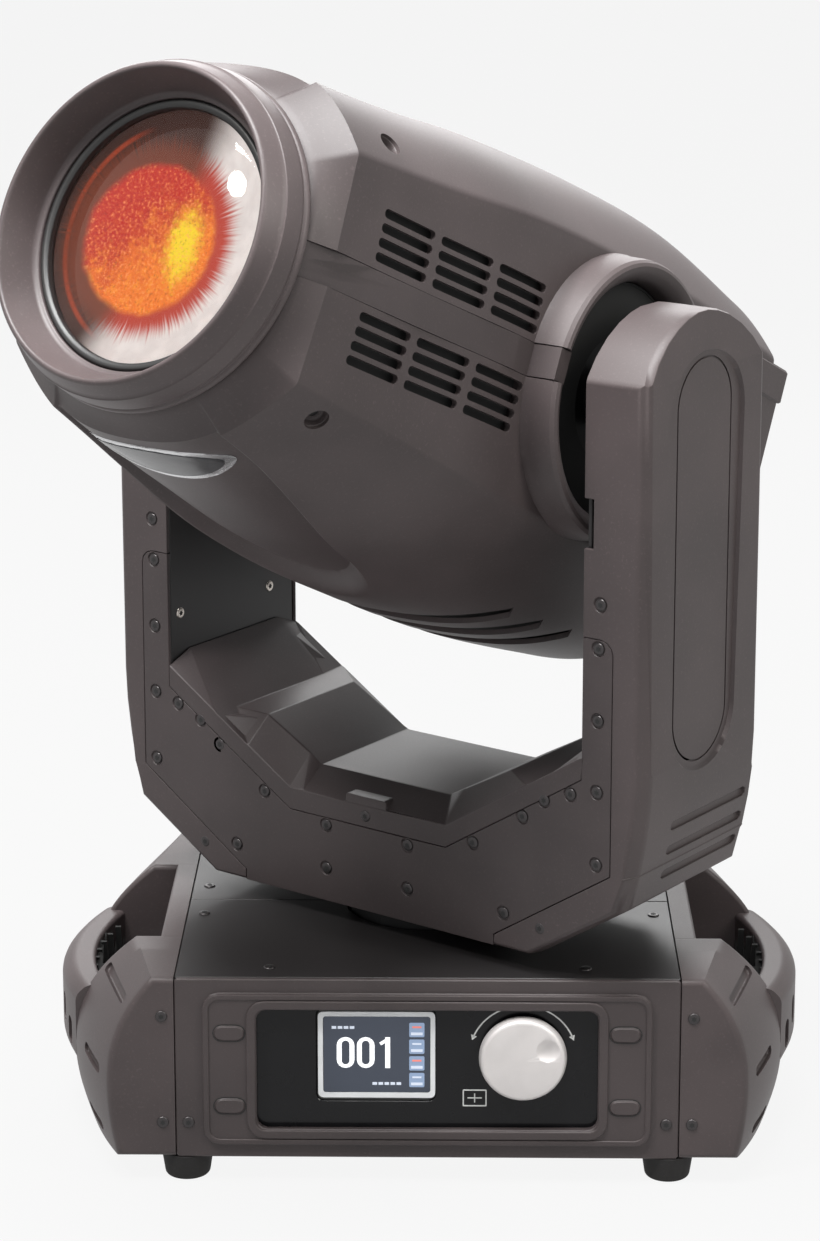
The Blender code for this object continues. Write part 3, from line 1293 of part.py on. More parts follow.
def add_wheel(name, look, wheel_axis, place):
    """A disc with a ring of openings, one of them on the beam."""
    wheel_axis.location = (WHEEL_OFFSET, -place, 0)
    half = WHEEL_THICK / 2
    rim = ring(WHEEL_AXLE_RADIUS + GAP, WHEEL_RADIUS, -half, half, "BEAM")
    wheel = add_piece(name, rim, look, wheel_axis)
    holes = []
    reach = WHEEL_RADIUS - WHEEL_HOLE_RADIUS - WHEEL_THICK
    for number in range(WHEEL_HOLES):
        angle = math.pi + math.tau * number / WHEEL_HOLES
        centre = (reach * math.cos(angle), 0, reach * math.sin(angle))
        holes.append(disc(WHEEL_HOLE_RADIUS, -WHEEL_THICK, WHEEL_THICK, "BEAM", centre, 8))
    cut(wheel, merged(holes))


def add_fan(fan_axis):
    fan_axis.location = (0, -FAN_CENTRE, 0)
    half = FAN_DEPTH / 2
    fan = add_piece("exhaust_fan", disc(FAN_HUB_RADIUS, -half + GAP, half, "BEAM"), BLACK_PAINT, fan_axis)
    blades = []
    root, tip = FAN_HUB_RADIUS - SHEET, FAN_RADIUS
    for number in range(FAN_BLADES):
        blade = box((root, -half * 0.8, -SHEET / 3), (tip, half * 0.8, SHEET / 3))
        bmesh.ops.rotate(blade, verts=blade.verts, matrix=Matrix.Rotation(math.radians(35), 3, "X"))
        turn = Matrix.Rotation(math.tau * number / FAN_BLADES, 3, "Y")
        bmesh.ops.rotate(blade, verts=blade.verts, matrix=turn)
        blades.append(blade)
    join(fan, merged(blades))


def add_tilt_shafts(head):
    start = TILT_SHAFT_SEAT + GAP
    end = TILT_PULLEY_END
    for name, side in (("tilt_shaft_left", -1), ("tilt_shaft_right", 1)):
        near, far = side * start, side * end
        step = near + side * 2 * SHEET
        profile = [
            (0, near),
            (TILT_FLANGE_RADIUS, near),
            (TILT_FLANGE_RADIUS, step),
            (TILT_SHAFT_RADIUS, step),
            (TILT_SHAFT_RADIUS, far),
            (0, far),
        ]
        add_piece(name, turned(profile, "X"), BARE_METAL, head, True)
    pulley = ring(TILT_SHAFT_RADIUS + GAP, TILT_PULLEY_RADIUS, TILT_PULLEY_START, TILT_PULLEY_END, "X")
    add_piece("tilt_pulley", pulley, BARE_METAL, head, True)


def add_badge(head, cover):
    """A bare oval inlay let into the front of the lower cover."""
    front, rear = HEAD_SECTIONS[0], HEAD_SECTIONS[1]
    slope = math.atan2(rear[4] - front[4], front[0] - rear[0])
    drop = head_size(BADGE_FORWARD, -1)[2]
    place = Matrix.Translation((0, -BADGE_FORWARD, -drop)) @ Matrix.Rotation(-slope, 4, "X")
    oval = [(BADGE_LENGTH / 2 * x, BADGE_WIDTH / 2 * y) for x, y in arc((0, 0), 1, 0, 360, 32)[:-1]]
    pocket = [(x * (1 + 2 * GAP / BADGE_WIDTH), y * (1 + 2 * GAP / BADGE_WIDTH)) for x, y in oval]
    plate = prism(oval, -BADGE_THICK / 4, BADGE_THICK * 3 / 4)
    hollow = prism(pocket, -BADGE_THICK * 2, BADGE_THICK * 3 / 4 + GAP)
    for shape in (plate, hollow):
        bmesh.ops.transform(shape, matrix=place, verts=shape.verts)
    add_piece("badge_inlay", face_out(plate), GLOSS_BLACK, head)
    cut(cover, face_out(hollow))


def build_base():
    add_chassis()
    add_front_panel()
    add_rear_panel()
    add_top_plates()
    add_side_cover("side_cover_left", -1)
    add_side_cover("side_cover_right", 1)
    add_feet()
    add_display()
    plunger_axis = add_empty("plunger_axis")
    add_encoder(add_empty("jog_axis", plunger_axis), plunger_axis)
    add_sockets()
    add_pan_drive(add_empty("pan_drive_axis"))


def build_yoke(yoke):
    add_pan_shaft(yoke)
    add_yoke_plates(yoke)
    add_floor_cover(yoke)
    add_arm_cover("arm_cover_left", -1, yoke)
    add_arm_cover("arm_cover_right", 1, yoke)
    add_arm_plate("arm_plate_left", "tilt_bearing_left", -1, yoke)
    add_arm_plate("arm_plate_right", "tilt_bearing_right", 1, yoke)
    add_tilt_drive(yoke, add_empty("tilt_drive_axis", yoke))


def build_head(head):
    add_head_frame(head)
    add_head_cover("head_cover_upper", 1, head)
    lower = add_head_cover("head_cover_lower", -1, head)
    add_rear_cover(head)
    add_optics(head)
    add_lamp(head)
    add_focus(add_empty("focus_axis", head))
    first = MIDDLE_BULKHEAD - WHEEL_SPACING
    add_wheel("colour_wheel", ORANGE, add_empty("colour_wheel_axis", head), first)
    add_wheel("gobo_wheel", BARE_METAL, add_empty("gobo_wheel_axis", head), first - WHEEL_SPACING)
    add_fan(add_empty("fan_axis", head))
    add_tilt_shafts(head)
    add_badge(head, lower)


def main():
    start_clean()
    build_base()
    yoke = add_empty("pan_axis", None, (0, 0, 0), (0, 0, math.radians(-PAN_REST)))
    build_yoke(yoke)
    build_head(add_empty("tilt_axis", yoke, (0, 0, TILT_HEIGHT), (math.radians(-TILT_REST), 0, 0)))


main()
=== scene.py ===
"""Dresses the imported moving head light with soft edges, moulded skins, screws, display and lens."""

import json
import math

import bmesh
import bpy
from bpy.props import FloatProperty, FloatVectorProperty, PointerProperty
from mathutils import Matrix, Vector


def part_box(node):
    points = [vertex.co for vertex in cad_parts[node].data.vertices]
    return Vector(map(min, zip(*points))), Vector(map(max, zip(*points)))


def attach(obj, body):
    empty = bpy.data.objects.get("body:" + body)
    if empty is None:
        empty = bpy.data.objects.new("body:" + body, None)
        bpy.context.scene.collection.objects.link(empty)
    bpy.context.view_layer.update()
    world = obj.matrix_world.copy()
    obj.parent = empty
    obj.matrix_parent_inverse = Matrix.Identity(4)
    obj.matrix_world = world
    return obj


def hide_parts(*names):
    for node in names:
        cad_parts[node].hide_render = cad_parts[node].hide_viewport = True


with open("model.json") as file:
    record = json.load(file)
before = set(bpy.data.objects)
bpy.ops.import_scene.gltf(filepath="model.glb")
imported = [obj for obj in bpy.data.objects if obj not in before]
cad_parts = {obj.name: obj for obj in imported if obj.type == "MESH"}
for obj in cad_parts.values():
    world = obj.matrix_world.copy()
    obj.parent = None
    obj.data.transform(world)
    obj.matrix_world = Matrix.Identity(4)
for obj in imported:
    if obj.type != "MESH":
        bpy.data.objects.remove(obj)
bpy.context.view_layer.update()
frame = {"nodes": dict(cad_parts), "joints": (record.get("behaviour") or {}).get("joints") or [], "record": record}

bl_info = {
    "name": "Moving head light dresser",
    "version": (1, 0, 0),
    "blender": (4, 5, 0),
    "location": "3D View > Sidebar > Light",
    "description": "Builds the visible pieces of a moving head light around its packed solids",
    "category": "Object",
}

JOINTS = {joint["name"]: joint for joint in frame["joints"]}
TILT_AXIS = Vector(JOINTS["tilt"]["axis"])
BEAM = Vector(JOINTS["focus_travel"]["axis"])
PAN_ANGLE = math.atan2(TILT_AXIS.y, TILT_AXIS.x)
TILT_ANGLE = math.asin(BEAM.z)
YOKE = Matrix.Rotation(PAN_ANGLE, 4, "Z")
HEAD = YOKE @ Matrix.Translation(JOINTS["tilt"]["pos_m"]) @ Matrix.Rotation(-TILT_ANGLE, 4, "X")
BASE = Matrix.Identity(4)
FLOOR_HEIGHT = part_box("foot_front_left")[0].z
FACE_FORWARD = Matrix.Rotation(math.pi / 2, 4, "X")
FACE_BACK = Matrix.Rotation(-math.pi / 2, 4, "X")
FACE_RIGHT = Matrix.Rotation(math.pi / 2, 4, "Y")
FACE_LEFT = Matrix.Rotation(-math.pi / 2, 4, "Y")
BODY_OF = {node: body for body, nodes in frame["record"]["behaviour"]["bodies"].items() for node in nodes}
SLOT_OF = {row["node"]: row["material_slot"] for row in frame["record"]["subparts"]}

# Finishes of a screw's head and of the star in it; the star's near-black is painted shade for a sunk socket
SCREW_LOOK = ("screw", "recess")
NICKEL_LOOK = ("nickel", "recess")

# Sections of the head's covers from front to rear: place along the beam, half width at the band,
# height of the sides' edge, upper and lower crown heights
HEAD_SECTIONS = (
    (0.257, 0.0965, 0.060, 0.104, 0.102),
    (0.170, 0.1065, 0.067, 0.111, 0.124),
    (0.095, 0.1185, 0.074, 0.1195, 0.137),
    (0.000, 0.122, 0.078, 0.1275, 0.1405),
    (-0.090, 0.122, 0.078, 0.1295, 0.140),
    (-0.178, 0.121, 0.072, 0.117, 0.132),
)

# Half widths of the solid frame's band by place along the beam. Where the covers' chamfer starts and the
# radius it ends at, half the band's height, the lean of the covers' sides and their wall
FRAME_WIDTHS = ((0.257, 0.090), (0.170, 0.1045), (0.095, 0.1185), (0.000, 0.122))
CHAMFER_START = 0.240
FRONT_RADIUS = 0.0915
BAND_HALF = 0.0095
SIDE_LEAN = 0.05
SHELL_WALL = 0.003


# Sizes and colours that a user may change


def colour(name, description, default):
    kind = {"size": 3, "min": 0, "max": 1, "subtype": "COLOR"}
    return FloatVectorProperty(name=name, description=description, default=default, **kind)


def length(name, description, default):
    return FloatProperty(name=name, description=description, default=default, min=0, unit="LENGTH")


class LightFinishes(bpy.types.PropertyGroup):
    """Colours of the light's skins and small parts."""

    shell: colour("Moulded shell", "Charcoal of the plastic covers", (0.0550, 0.0436, 0.0442))
    sheet: colour("Coated sheet", "Charcoal of the coated metal plates", (0.0475, 0.0380, 0.0386))
    satin: colour("Satin black", "Paint of the base's top plates", (0.017, 0.0155, 0.0160))
    gloss: colour("Gloss black", "Front of the control panel", (0.006, 0.006, 0.007))
    knob: colour("Jog knob", "Silver of the jog knob", (0.60, 0.575, 0.57))
    rubber: colour("Rubber", "Feet and belts", (0.018, 0.017, 0.017))
    screen: colour("Screen", "Backlit ground of the display", (0.026, 0.033, 0.050))


class LightSizes(bpy.types.PropertyGroup):
    """Sizes of the fine work."""

    grain: length("Grain", "Size of the moulded grain", 0.0007)
    screw: length("Screw head", "Radius of a screw's head", 0.0034)
    seat: length("Screw seat", "Radius of the sunk seat round a screw", 0.0047)
    tongue: length("Tongue depth", "Depth of the scooped tongue on the head's covers", 0.010)
    dish: length("Dish depth", "Depth of the dished channel on the arms", 0.0022)


class StageSettings(bpy.types.PropertyGroup):
    """The studio."""

    ground: colour("Ground", "Colour of the floor and of the background", (0.945, 0.945, 0.945))
    lens: FloatProperty(name="Lens", description="Focal length of the camera", default=66.2, unit="CAMERA")
    rise: FloatProperty(name="Shift", description="Vertical shift of the camera", default=-0.14)


def finishes():
    return bpy.context.scene.light_finishes


def sizes():
    return bpy.context.scene.light_sizes


# Shader maths


class Value:
    """One shader socket. Arithmetic on it adds Math nodes."""

    def __init__(self, nodes, socket):
        self.nodes = nodes
        self.socket = socket

    def __add__(self, other):
        return self.nodes.math("ADD", self, other)

    __radd__ = __add__

    def __sub__(self, other):
        return self.nodes.math("SUBTRACT", self, other)

    def __rsub__(self, other):
        return self.nodes.math("SUBTRACT", other, self)

    def __mul__(self, other):
        return self.nodes.math("MULTIPLY", self, other)

    __rmul__ = __mul__

    def __truediv__(self, other):
        return self.nodes.math("DIVIDE", self, other)

    def __pow__(self, other):
        return self.nodes.math("POWER", self, other)

    def step(self, low, high):
        """0 below low, 1 above high and a soft step between."""
        ends = {"From Min": low, "From Max": high}
        settings = {"interpolation_type": "SMOOTHSTEP"}
        return self.nodes.node("ShaderNodeMapRange", settings, {"Value": self, **ends})


class Nodes:
    """A node tree. One method makes all its nodes."""

    def __init__(self, tree):
        self.tree = tree

    def node(self, kind, settings=None, inputs=None, output=0):
        """An output of a new node, from its type, its settings and what its sockets get."""
        made = self.tree.nodes.new(kind)
        for name, value in (settings or {}).items():
            setattr(made, name, value)
        for name, value in (inputs or {}).items():
            self.feed(made.inputs[name], value)
        return Value(self, made.outputs[output])

    def feed(self, socket, value):
        """Links a value to a socket, or sets the socket to a number, a vector or a colour."""
        if isinstance(value, Value):
            self.tree.links.new(value.socket, socket)
        elif hasattr(socket.default_value, "__len__") and len(socket.default_value) == 4 and len(value) == 3:
            socket.default_value = (*value, 1.0)
        else:
            socket.default_value = value

    def math(self, operation, first, second):
        return self.node("ShaderNodeMath", {"operation": operation}, {0: first, 1: second})

    def seen_rays(self):
        """1 for rays from the camera, also where they are mirrored or pass through glass."""
        share = self.node("ShaderNodeLightPath", output="Is Camera Ray")
        path = share.socket.node
        for name in ("Is Glossy Ray", "Is Transmission Ray"):
            share = self.math("MAXIMUM", share, Value(self, path.outputs[name]))
        return share

    def show(self, lit, seen, share, output):
        """Puts a lit and a seen shader, mixed by a share, on the tree's output."""
        mix = self.node("ShaderNodeMixShader", None, {0: share, 1: lit, 2: seen})
        self.feed(self.tree.nodes[output].inputs["Surface"], mix)


class Finish(Nodes):
    """A material made of one Principled surface."""

    def __init__(self, name):
        self.material = bpy.data.materials.new(name)
        self.material.use_nodes = True
        super().__init__(self.material.node_tree)
        self.surface = self.tree.nodes["Principled BSDF"]

    def set(self, socket, value):
        self.feed(self.surface.inputs[socket], value)

    def mix(self, factor, first, second):
        """A colour between two colours."""
        return self.node("ShaderNodeMix", {"data_type": "RGBA"}, {0: factor, 6: first, 7: second}, 2)

    def place(self, matrix=None):
        """Object coordinates, turned into a frame of the light where one is given."""
        where = self.node("ShaderNodeTexCoord", output="Object")
        if matrix is None:
            return where
        turn = {"Vector": where, "Location": matrix.translation, "Rotation": matrix.to_euler()}
        return self.node("ShaderNodeMapping", {"vector_type": "TEXTURE"}, turn)

    def axes(self, matrix):
        split = self.node("ShaderNodeSeparateXYZ", None, {"Vector": self.place(matrix)})
        return [Value(self, output) for output in split.socket.node.outputs]

    def noise(self, size, detail=3.0, roughness=0.5):
        inputs = {"Vector": self.place(), "Scale": 1 / size, "Detail": detail, "Roughness": roughness}
        return self.node("ShaderNodeTexNoise", None, inputs)

    def bump(self, height, strength, distance):
        inputs = {"Height": height, "Strength": strength, "Distance": distance}
        self.set("Normal", self.node("ShaderNodeBump", None, inputs))


def shaded(tone, factor):
    return tuple(min(1.0, part * factor) for part in tone)


def grained(name, tone, rough, grain, depth, coat=0.0):
    """A fine-grained skin: slow drift of tone, small flecks, uneven sheen and a pebbled surface."""
    finish = Finish(name)
    drift = finish.noise(0.09, 3.0)
    fleck = finish.noise(grain * 2.2, 2.0)
    pebble = finish.noise(grain, 2.0, roughness=0.6)
    body = finish.mix(drift.step(0.3, 0.7), shaded(tone, 0.84), shaded(tone, 1.16))
    finish.set("Base Color", finish.mix(fleck.step(0.56, 0.78) * 0.35, body, shaded(tone, 1.9)))
    finish.set("Roughness", drift * 0.10 + pebble * 0.14 + (rough - 0.12))
    finish.set("Specular IOR Level", 0.34)
    finish.set("Coat Weight", coat)
    finish.bump(pebble, 0.35, depth)
    return finish.material


def plain(name, tone, rough, metallic=0.0, scratch=0.0006, depth=0.00004, gleam=0.5):
    """A smooth painted or machined surface with faint cloudiness and handling marks."""
    finish = Finish(name)
    finish.set("Metallic", metallic)
    finish.set("Specular IOR Level", gleam)
    cloud = finish.noise(0.02, 4.0)
    mark = finish.noise(scratch, 2.0)
    finish.set("Base Color", finish.mix(cloud.step(0.25, 0.75), shaded(tone, 0.94), shaded(tone, 1.05)))
    finish.set("Roughness", cloud * 0.12 + mark * 0.06 + (rough - 0.09))
    finish.bump(mark, 0.15, depth)
    return finish.material


# The lens's core, a painted glow with a painted reflection of the white studio on one side: how far it lies off
# the beam, the radii over which its disc, its halo and the fine arc near the rim end, and the disc's colours
CORE_SHIFT = 0.012
DISC_EDGE, HALO_EDGE = (0.0365, 0.0415), (0.0440, 0.0560)
ARC_INNER, ARC_OUTER = (0.0590, 0.0605), (0.0612, 0.0630)
CORE_RED, CORE_ORANGE, CORE_YELLOW = (0.58, 0.018, 0.006), (0.92, 0.20, 0.006), (1.0, 0.76, 0.010)


def painted_glow_core_finish():
    """A painted glow deep in the lens, where there is no lamp: a glittering warm disc, a streaked halo and an
    outer sweep that turns bright on one side as a painted reflection of the white studio.
    """
    finish = Finish("lens_core_painted_glow")
    wide, _, height = finish.axes(HEAD)
    across = wide + CORE_SHIFT
    reach = (across * across + height * height) ** 0.5
    rim = (wide * wide + height * height) ** 0.5
    angle = finish.math("ARCTAN2", height, across)
    rays = {"W": angle * 9, "Scale": 4.0, "Detail": 4.0}
    streak = finish.node("ShaderNodeTexNoise", {"noise_dimensions": "1D"}, rays)
    glitter = finish.noise(0.0015, 3.0, roughness=0.7)
    cloud = finish.noise(0.011, 3.0)
    mottle = finish.noise(0.004, 4.0, roughness=0.65)
    # The side on which the painted reflection of the white studio lies
    sweep = ((across * 0.93 - height * 0.37) / (reach + 0.0001)).step(-0.06, 0.36)
    dark = finish.mix(rim.step(0.030, 0.064), (0.105, 0.030, 0.014), (0.030, 0.012, 0.009))
    arc = rim.step(*ARC_INNER) * (1 - rim.step(*ARC_OUTER)) * (wide * -1).step(0.020, 0.045)
    dark = finish.mix(arc * 0.55, dark, (0.62, 0.075, 0.016))
    pale = finish.mix(cloud.step(0.35, 0.7), (0.76, 0.73, 0.72), (0.86, 0.84, 0.83))
    outer = finish.mix(sweep, dark, pale)
    halo = finish.mix(sweep, (0.150, 0.034, 0.014), (0.50, 0.045, 0.025))
    edge = reach + (streak - 0.5) * 0.016
    outside = finish.mix(edge.step(*HALO_EDGE), halo, outer)
    slope = across * 0.6 - height * 0.9 + (cloud - 0.5) * 0.05
    warm = finish.mix(slope.step(-0.016, 0.024), CORE_RED, CORE_ORANGE)
    warm = finish.mix((mottle.step(0.46, 0.66) * slope.step(-0.030, 0.010)) * 0.6, warm, (1.0, 0.36, 0.020))
    spot = ((across - 0.021) ** 2.0 + (height + 0.001) * (height + 0.001) * 0.30) ** 0.5
    warm = finish.mix(1 - (spot + (mottle - 0.5) * 0.020).step(0.004, 0.014), warm, CORE_YELLOW)
    warm = finish.mix(glitter.step(0.52, 0.68) * 0.65, warm, (1.0, 0.42, 0.14))
    warm = finish.mix((1 - glitter.step(0.30, 0.46)) * 0.45, warm, (0.22, 0.012, 0.006))
    tone = finish.mix((reach + (cloud - 0.5) * 0.004).step(*DISC_EDGE), warm, outside)
    finish.set("Base Color", (0.02, 0.01, 0.008))
    # All of it is emitted: a painted glow, shown whatever the lamps do
    finish.set("Emission Color", tone)
    finish.set("Emission Strength", 0.92)
    finish.set("Specular IOR Level", 0.0)
    finish.set("Roughness", 0.4)
    return finish.material


def glass_finish(name, tint, rough=0.0, refraction=1.22):
    finish = Finish(name)
    smear = finish.noise(0.03, 3.0)
    finish.set("Base Color", tint)
    finish.set("Transmission Weight", 1.0)
    finish.set("IOR", refraction)
    finish.set("Roughness", smear * 0.02 + rough)
    finish.set("Coat Weight", 0.15)
    finish.set("Coat Roughness", 0.02)
    return finish.material


SCREEN_MIDDLE = (-0.029, 0.0, 0.0609)


def screen_finish():
    """A backlit panel: a cool ground, a little brighter towards the middle."""
    finish = Finish("screen_ground")
    across, _, height = finish.axes(Matrix.Translation(SCREEN_MIDDLE))
    glow = 1 - (across * across + height * height).step(0.0, 0.0022)
    tone = finish.mix(glow * 0.6, shaded(finishes().screen, 0.8), shaded(finishes().screen, 1.5))
    finish.set("Base Color", (0.01, 0.012, 0.016))
    finish.set("Emission Color", tone)
    finish.set("Emission Strength", 1.0)
    finish.set("Roughness", 0.12)
    return finish.material


def lit_finish(name, tone, strength):
    finish = Finish(name)
    haze = finish.noise(0.004, 2.0)
    finish.set("Base Color", shaded(tone, 0.6))
    finish.set("Emission Color", finish.mix(haze * 0.25, tone, shaded(tone, 0.8)))
    finish.set("Emission Strength", strength)
    finish.set("Roughness", 0.3)
    return finish.material


def make_finishes():
    look = finishes()
    grain = sizes().grain
    return {
        "shell": grained("moulded_shell", look.shell, 0.47, grain, 0.00012),
        # The bezel has the shell's own plastic, made a quarter brighter: painted light for the lamps that fall on
        # its face
        "bezel": grained("bezel_shell_painted_light", shaded(look.shell, 1.25), 0.42, grain, 0.00010),
        "sheet": grained("coated_sheet", look.sheet, 0.46, grain * 0.8, 0.00010),
        "satin": grained("satin_black", look.satin, 0.42, grain * 0.6, 0.00004),
        "gloss": plain("gloss_black", look.gloss, 0.16, gleam=0.22),
        "knob": plain("silver_knob", look.knob, 0.44, 0.35, 0.0004),
        "rubber": grained("foot_rubber", look.rubber, 0.82, 0.0011, 0.00012),
        "dark_metal": plain("dark_metal", (0.030, 0.030, 0.031), 0.42, 0.75),
        "screw": plain("black_screw", (0.050, 0.046, 0.047), 0.34, 0.7),
        # Near black: painted shade in screws' sockets, round the front panel's pads and in the fuse cap's slot;
        # also the socket inserts
        "recess": plain("painted_shade_black", (0.004, 0.004, 0.004), 0.7),
        "nickel": plain("nickel_screw", (0.50, 0.46, 0.42), 0.30, 1.0),
        "steel": plain("bare_steel", (0.58, 0.58, 0.60), 0.32, 1.0),
        "aluminium": plain("aluminium", (0.62, 0.63, 0.65), 0.36, 1.0),
        "mirror": plain("mirror", (0.85, 0.86, 0.88), 0.16, 1.0),
        "black_plastic": plain("black_plastic", (0.014, 0.014, 0.014), 0.45),
        # Near black: painted shade on the sheets behind the vents and louvres; also the colour of the discs in the
        # collars and of the ribs on the bars
        "inside": plain("near_black_and_painted_shade", (0.006, 0.006, 0.006), 0.8),
        # White print with a faint painted glow, given off though it is no lamp
        "white_print": lit_finish("white_print", (0.80, 0.81, 0.80), 0.10),
        "lcd_frame": plain("lcd_frame", (0.72, 0.74, 0.76), 0.40),
        "screen": screen_finish(),
        "digit": lit_finish("screen_digits", (0.95, 0.97, 1.0), 0.85),
        "key": lit_finish("screen_keys", (0.20, 0.27, 0.40), 0.9),
        "mark": lit_finish("screen_marks", (0.55, 0.60, 0.70), 0.8),
        "mark_warm": lit_finish("screen_marks_warm", (0.75, 0.20, 0.16), 0.8),
        "glass": glass_finish("lens_glass", (1.0, 0.95, 0.92)),
        "lamp_glass": glass_finish("lamp_glass", (0.95, 0.95, 0.95)),
        "core": painted_glow_core_finish(),
        "filter": plain("filter_wheel", (0.75, 0.20, 0.04), 0.25, 0.4),
        "brass": plain("contact_brass", (0.72, 0.52, 0.24), 0.30, 1.0),
        "badge_rim": plain("badge_rim", (0.62, 0.62, 0.63), 0.26, 1.0),
        "badge_field": plain("badge_field", (0.035, 0.035, 0.038), 0.24, 0.2),
    }


FINISH = {}


# Mesh helpers


def as_object(shape, name="work"):
    mesh = bpy.data.meshes.new(name)
    shape.to_mesh(mesh)
    shape.free()
    piece = bpy.data.objects.new(name, mesh)
    bpy.context.scene.collection.objects.link(piece)
    return piece


def merged(shapes):
    whole = bmesh.new()
    for shape in shapes:
        mesh = bpy.data.meshes.new("part")
        shape.to_mesh(mesh)
        shape.free()
        whole.from_mesh(mesh)
        bpy.data.meshes.remove(mesh)
    return whole


def moved(shape, matrix):
    bmesh.ops.transform(shape, matrix=matrix, verts=shape.verts)
    return shape


def face_out(shape):
    bmesh.ops.recalc_face_normals(shape, faces=shape.faces)
    return shape


def drawn_out(shape):
    """The points of a flat shape's far side, after it is extruded in place."""
    far = bmesh.ops.extrude_face_region(shape, geom=shape.faces[:])["geom"]
    return [item for item in far if isinstance(item, bmesh.types.BMVert)]


def thickened(shape, way):
    """A flat shape drawn out along a vector."""
    bmesh.ops.translate(shape, vec=way, verts=drawn_out(shape))
    return face_out(shape)


def middle_of(node):
    low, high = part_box(node)
    return (low + high) / 2


def carved(shape, joins=(), cuts=(), wall=0.0):
    """The shape after a wall is given to it, others are joined to it and others are cut away."""
    body = as_object(shape)
    tools = []
    if wall:
        solid = body.modifiers.new("wall", "SOLIDIFY")
        solid.thickness = wall
        solid.offset = -1
    for operation, others in (("UNION", joins), ("DIFFERENCE", cuts)):
        for other in others:
            tool = as_object(other)
            tools.append(tool)
            step = body.modifiers.new("step", "BOOLEAN")
            step.operation = operation
            step.solver = "EXACT"
            step.object = tool
    result = bmesh.new()
    result.from_object(body, bpy.context.evaluated_depsgraph_get())
    for piece in [body] + tools:
        mesh = piece.data
        bpy.data.objects.remove(piece)
        bpy.data.meshes.remove(mesh)
    return result


def sharp_edges(shape, degrees):
    limit = math.radians(degrees)
    return [edge for edge in shape.edges if edge.is_manifold and edge.calc_face_angle(0) > limit]


def rounded_edges(shape, width, segments=2, degrees=30, edges=None):
    chosen = sharp_edges(shape, degrees) if edges is None else edges
    bmesh.ops.bevel(
        shape,
        geom=chosen,
        offset=width,
        offset_type="OFFSET",
        affect="EDGES",
        segments=segments,
        profile=0.5,
        material=-1,
    )
    return shape


# Faces narrower than a strip and edges shorter than a long one get only the narrow softening
STRIP_WIDTH = 0.0044
LONG_EDGE = 0.012


def broad(face):
    """True for faces that aren't narrow strips."""
    return face.calc_area() > STRIP_WIDTH / 2 * face.calc_perimeter()


def soft_body(shape, big, small, segments=3, degrees=18):
    """Wide soft edges between the broad faces and narrow ones at all other edges."""
    limit = math.radians(degrees)
    main = []
    for edge in shape.edges:
        if edge.is_manifold and edge.calc_length() > LONG_EDGE and edge.calc_face_angle(0) > limit:
            if all(broad(face) for face in edge.link_faces):
                main.append(edge)
    rounded_edges(shape, big, segments, edges=main)
    return rounded_edges(shape, small, 1, 50)


def copied(node):
    """A node's mesh with its doubles merged and one material."""
    shape = bmesh.new()
    shape.from_mesh(frame["nodes"][node].data)
    bmesh.ops.remove_doubles(shape, verts=shape.verts, dist=1e-5)
    for face in shape.faces:
        face.material_index = 0
    return shape


def whole_faces(shape, degrees=0.6):
    """The shape with the triangles of each flat face joined."""
    bmesh.ops.dissolve_limit(
        shape,
        angle_limit=math.radians(degrees),
        use_dissolve_boundaries=False,
        verts=shape.verts,
        edges=shape.edges,
    )
    return shape


def finish_piece(shape, name, body, look, nodes=(), smooth=32, flat=False):
    """Makes a piece of the shape, rides it on its body and lets it stand for its nodes."""
    for face in shape.faces:
        face.smooth = True
    limit = math.radians(smooth)
    for edge in shape.edges:
        edge.smooth = edge.calc_face_angle(0) < limit if edge.is_manifold else False
    piece = as_object(shape, name)
    for each in look if isinstance(look, (list, tuple)) else [look]:
        piece.data.materials.append(FINISH[each])
    if flat:
        normals = piece.modifiers.new("normals", "WEIGHTED_NORMAL")
        normals.keep_sharp = True
        normals.weight = 90
    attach(piece, body)
    if nodes:
        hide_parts(*nodes)
    return piece


def block(width, depth, height, radius=0.0, segments=3, centre=(0, 0, 0)):
    """A box whose upright edges are rounded."""
    shape = bmesh.new()
    bmesh.ops.create_cube(shape, size=1.0)
    bmesh.ops.scale(shape, vec=(width, depth, height), verts=shape.verts)
    if radius:
        upright = [edge for edge in shape.edges if abs(edge.verts[0].co.z - edge.verts[1].co.z) > height / 2]
        rounded_edges(shape, radius, segments, edges=upright)
    bmesh.ops.translate(shape, vec=centre, verts=shape.verts)
    return shape


def cone(low, high, depth, segments):
    """A round peg along Z, from one radius to another."""
    shape = bmesh.new()
    bmesh.ops.create_cone(shape, cap_ends=True, segments=segments, radius1=low, radius2=high, depth=depth)
    return shape


def spun(profile, steps=64):
    """A closed outline of (radius, height) points, spun about Z."""
    shape = bmesh.new()
    points = [shape.verts.new((radius, 0, height)) for radius, height in profile]
    edges = []
    for here, there in zip(points, points[1:] + points[:1]):
        if here.co.x > 0 or there.co.x > 0:
            edges.append(shape.edges.new((here, there)))
    axis = {"axis": (0, 0, 1), "cent": (0, 0, 0)}
    bmesh.ops.spin(shape, geom=points + edges, angle=math.tau, steps=steps, use_merge=True, **axis)
    bmesh.ops.remove_doubles(shape, verts=shape.verts, dist=1e-6)
    return face_out(shape)


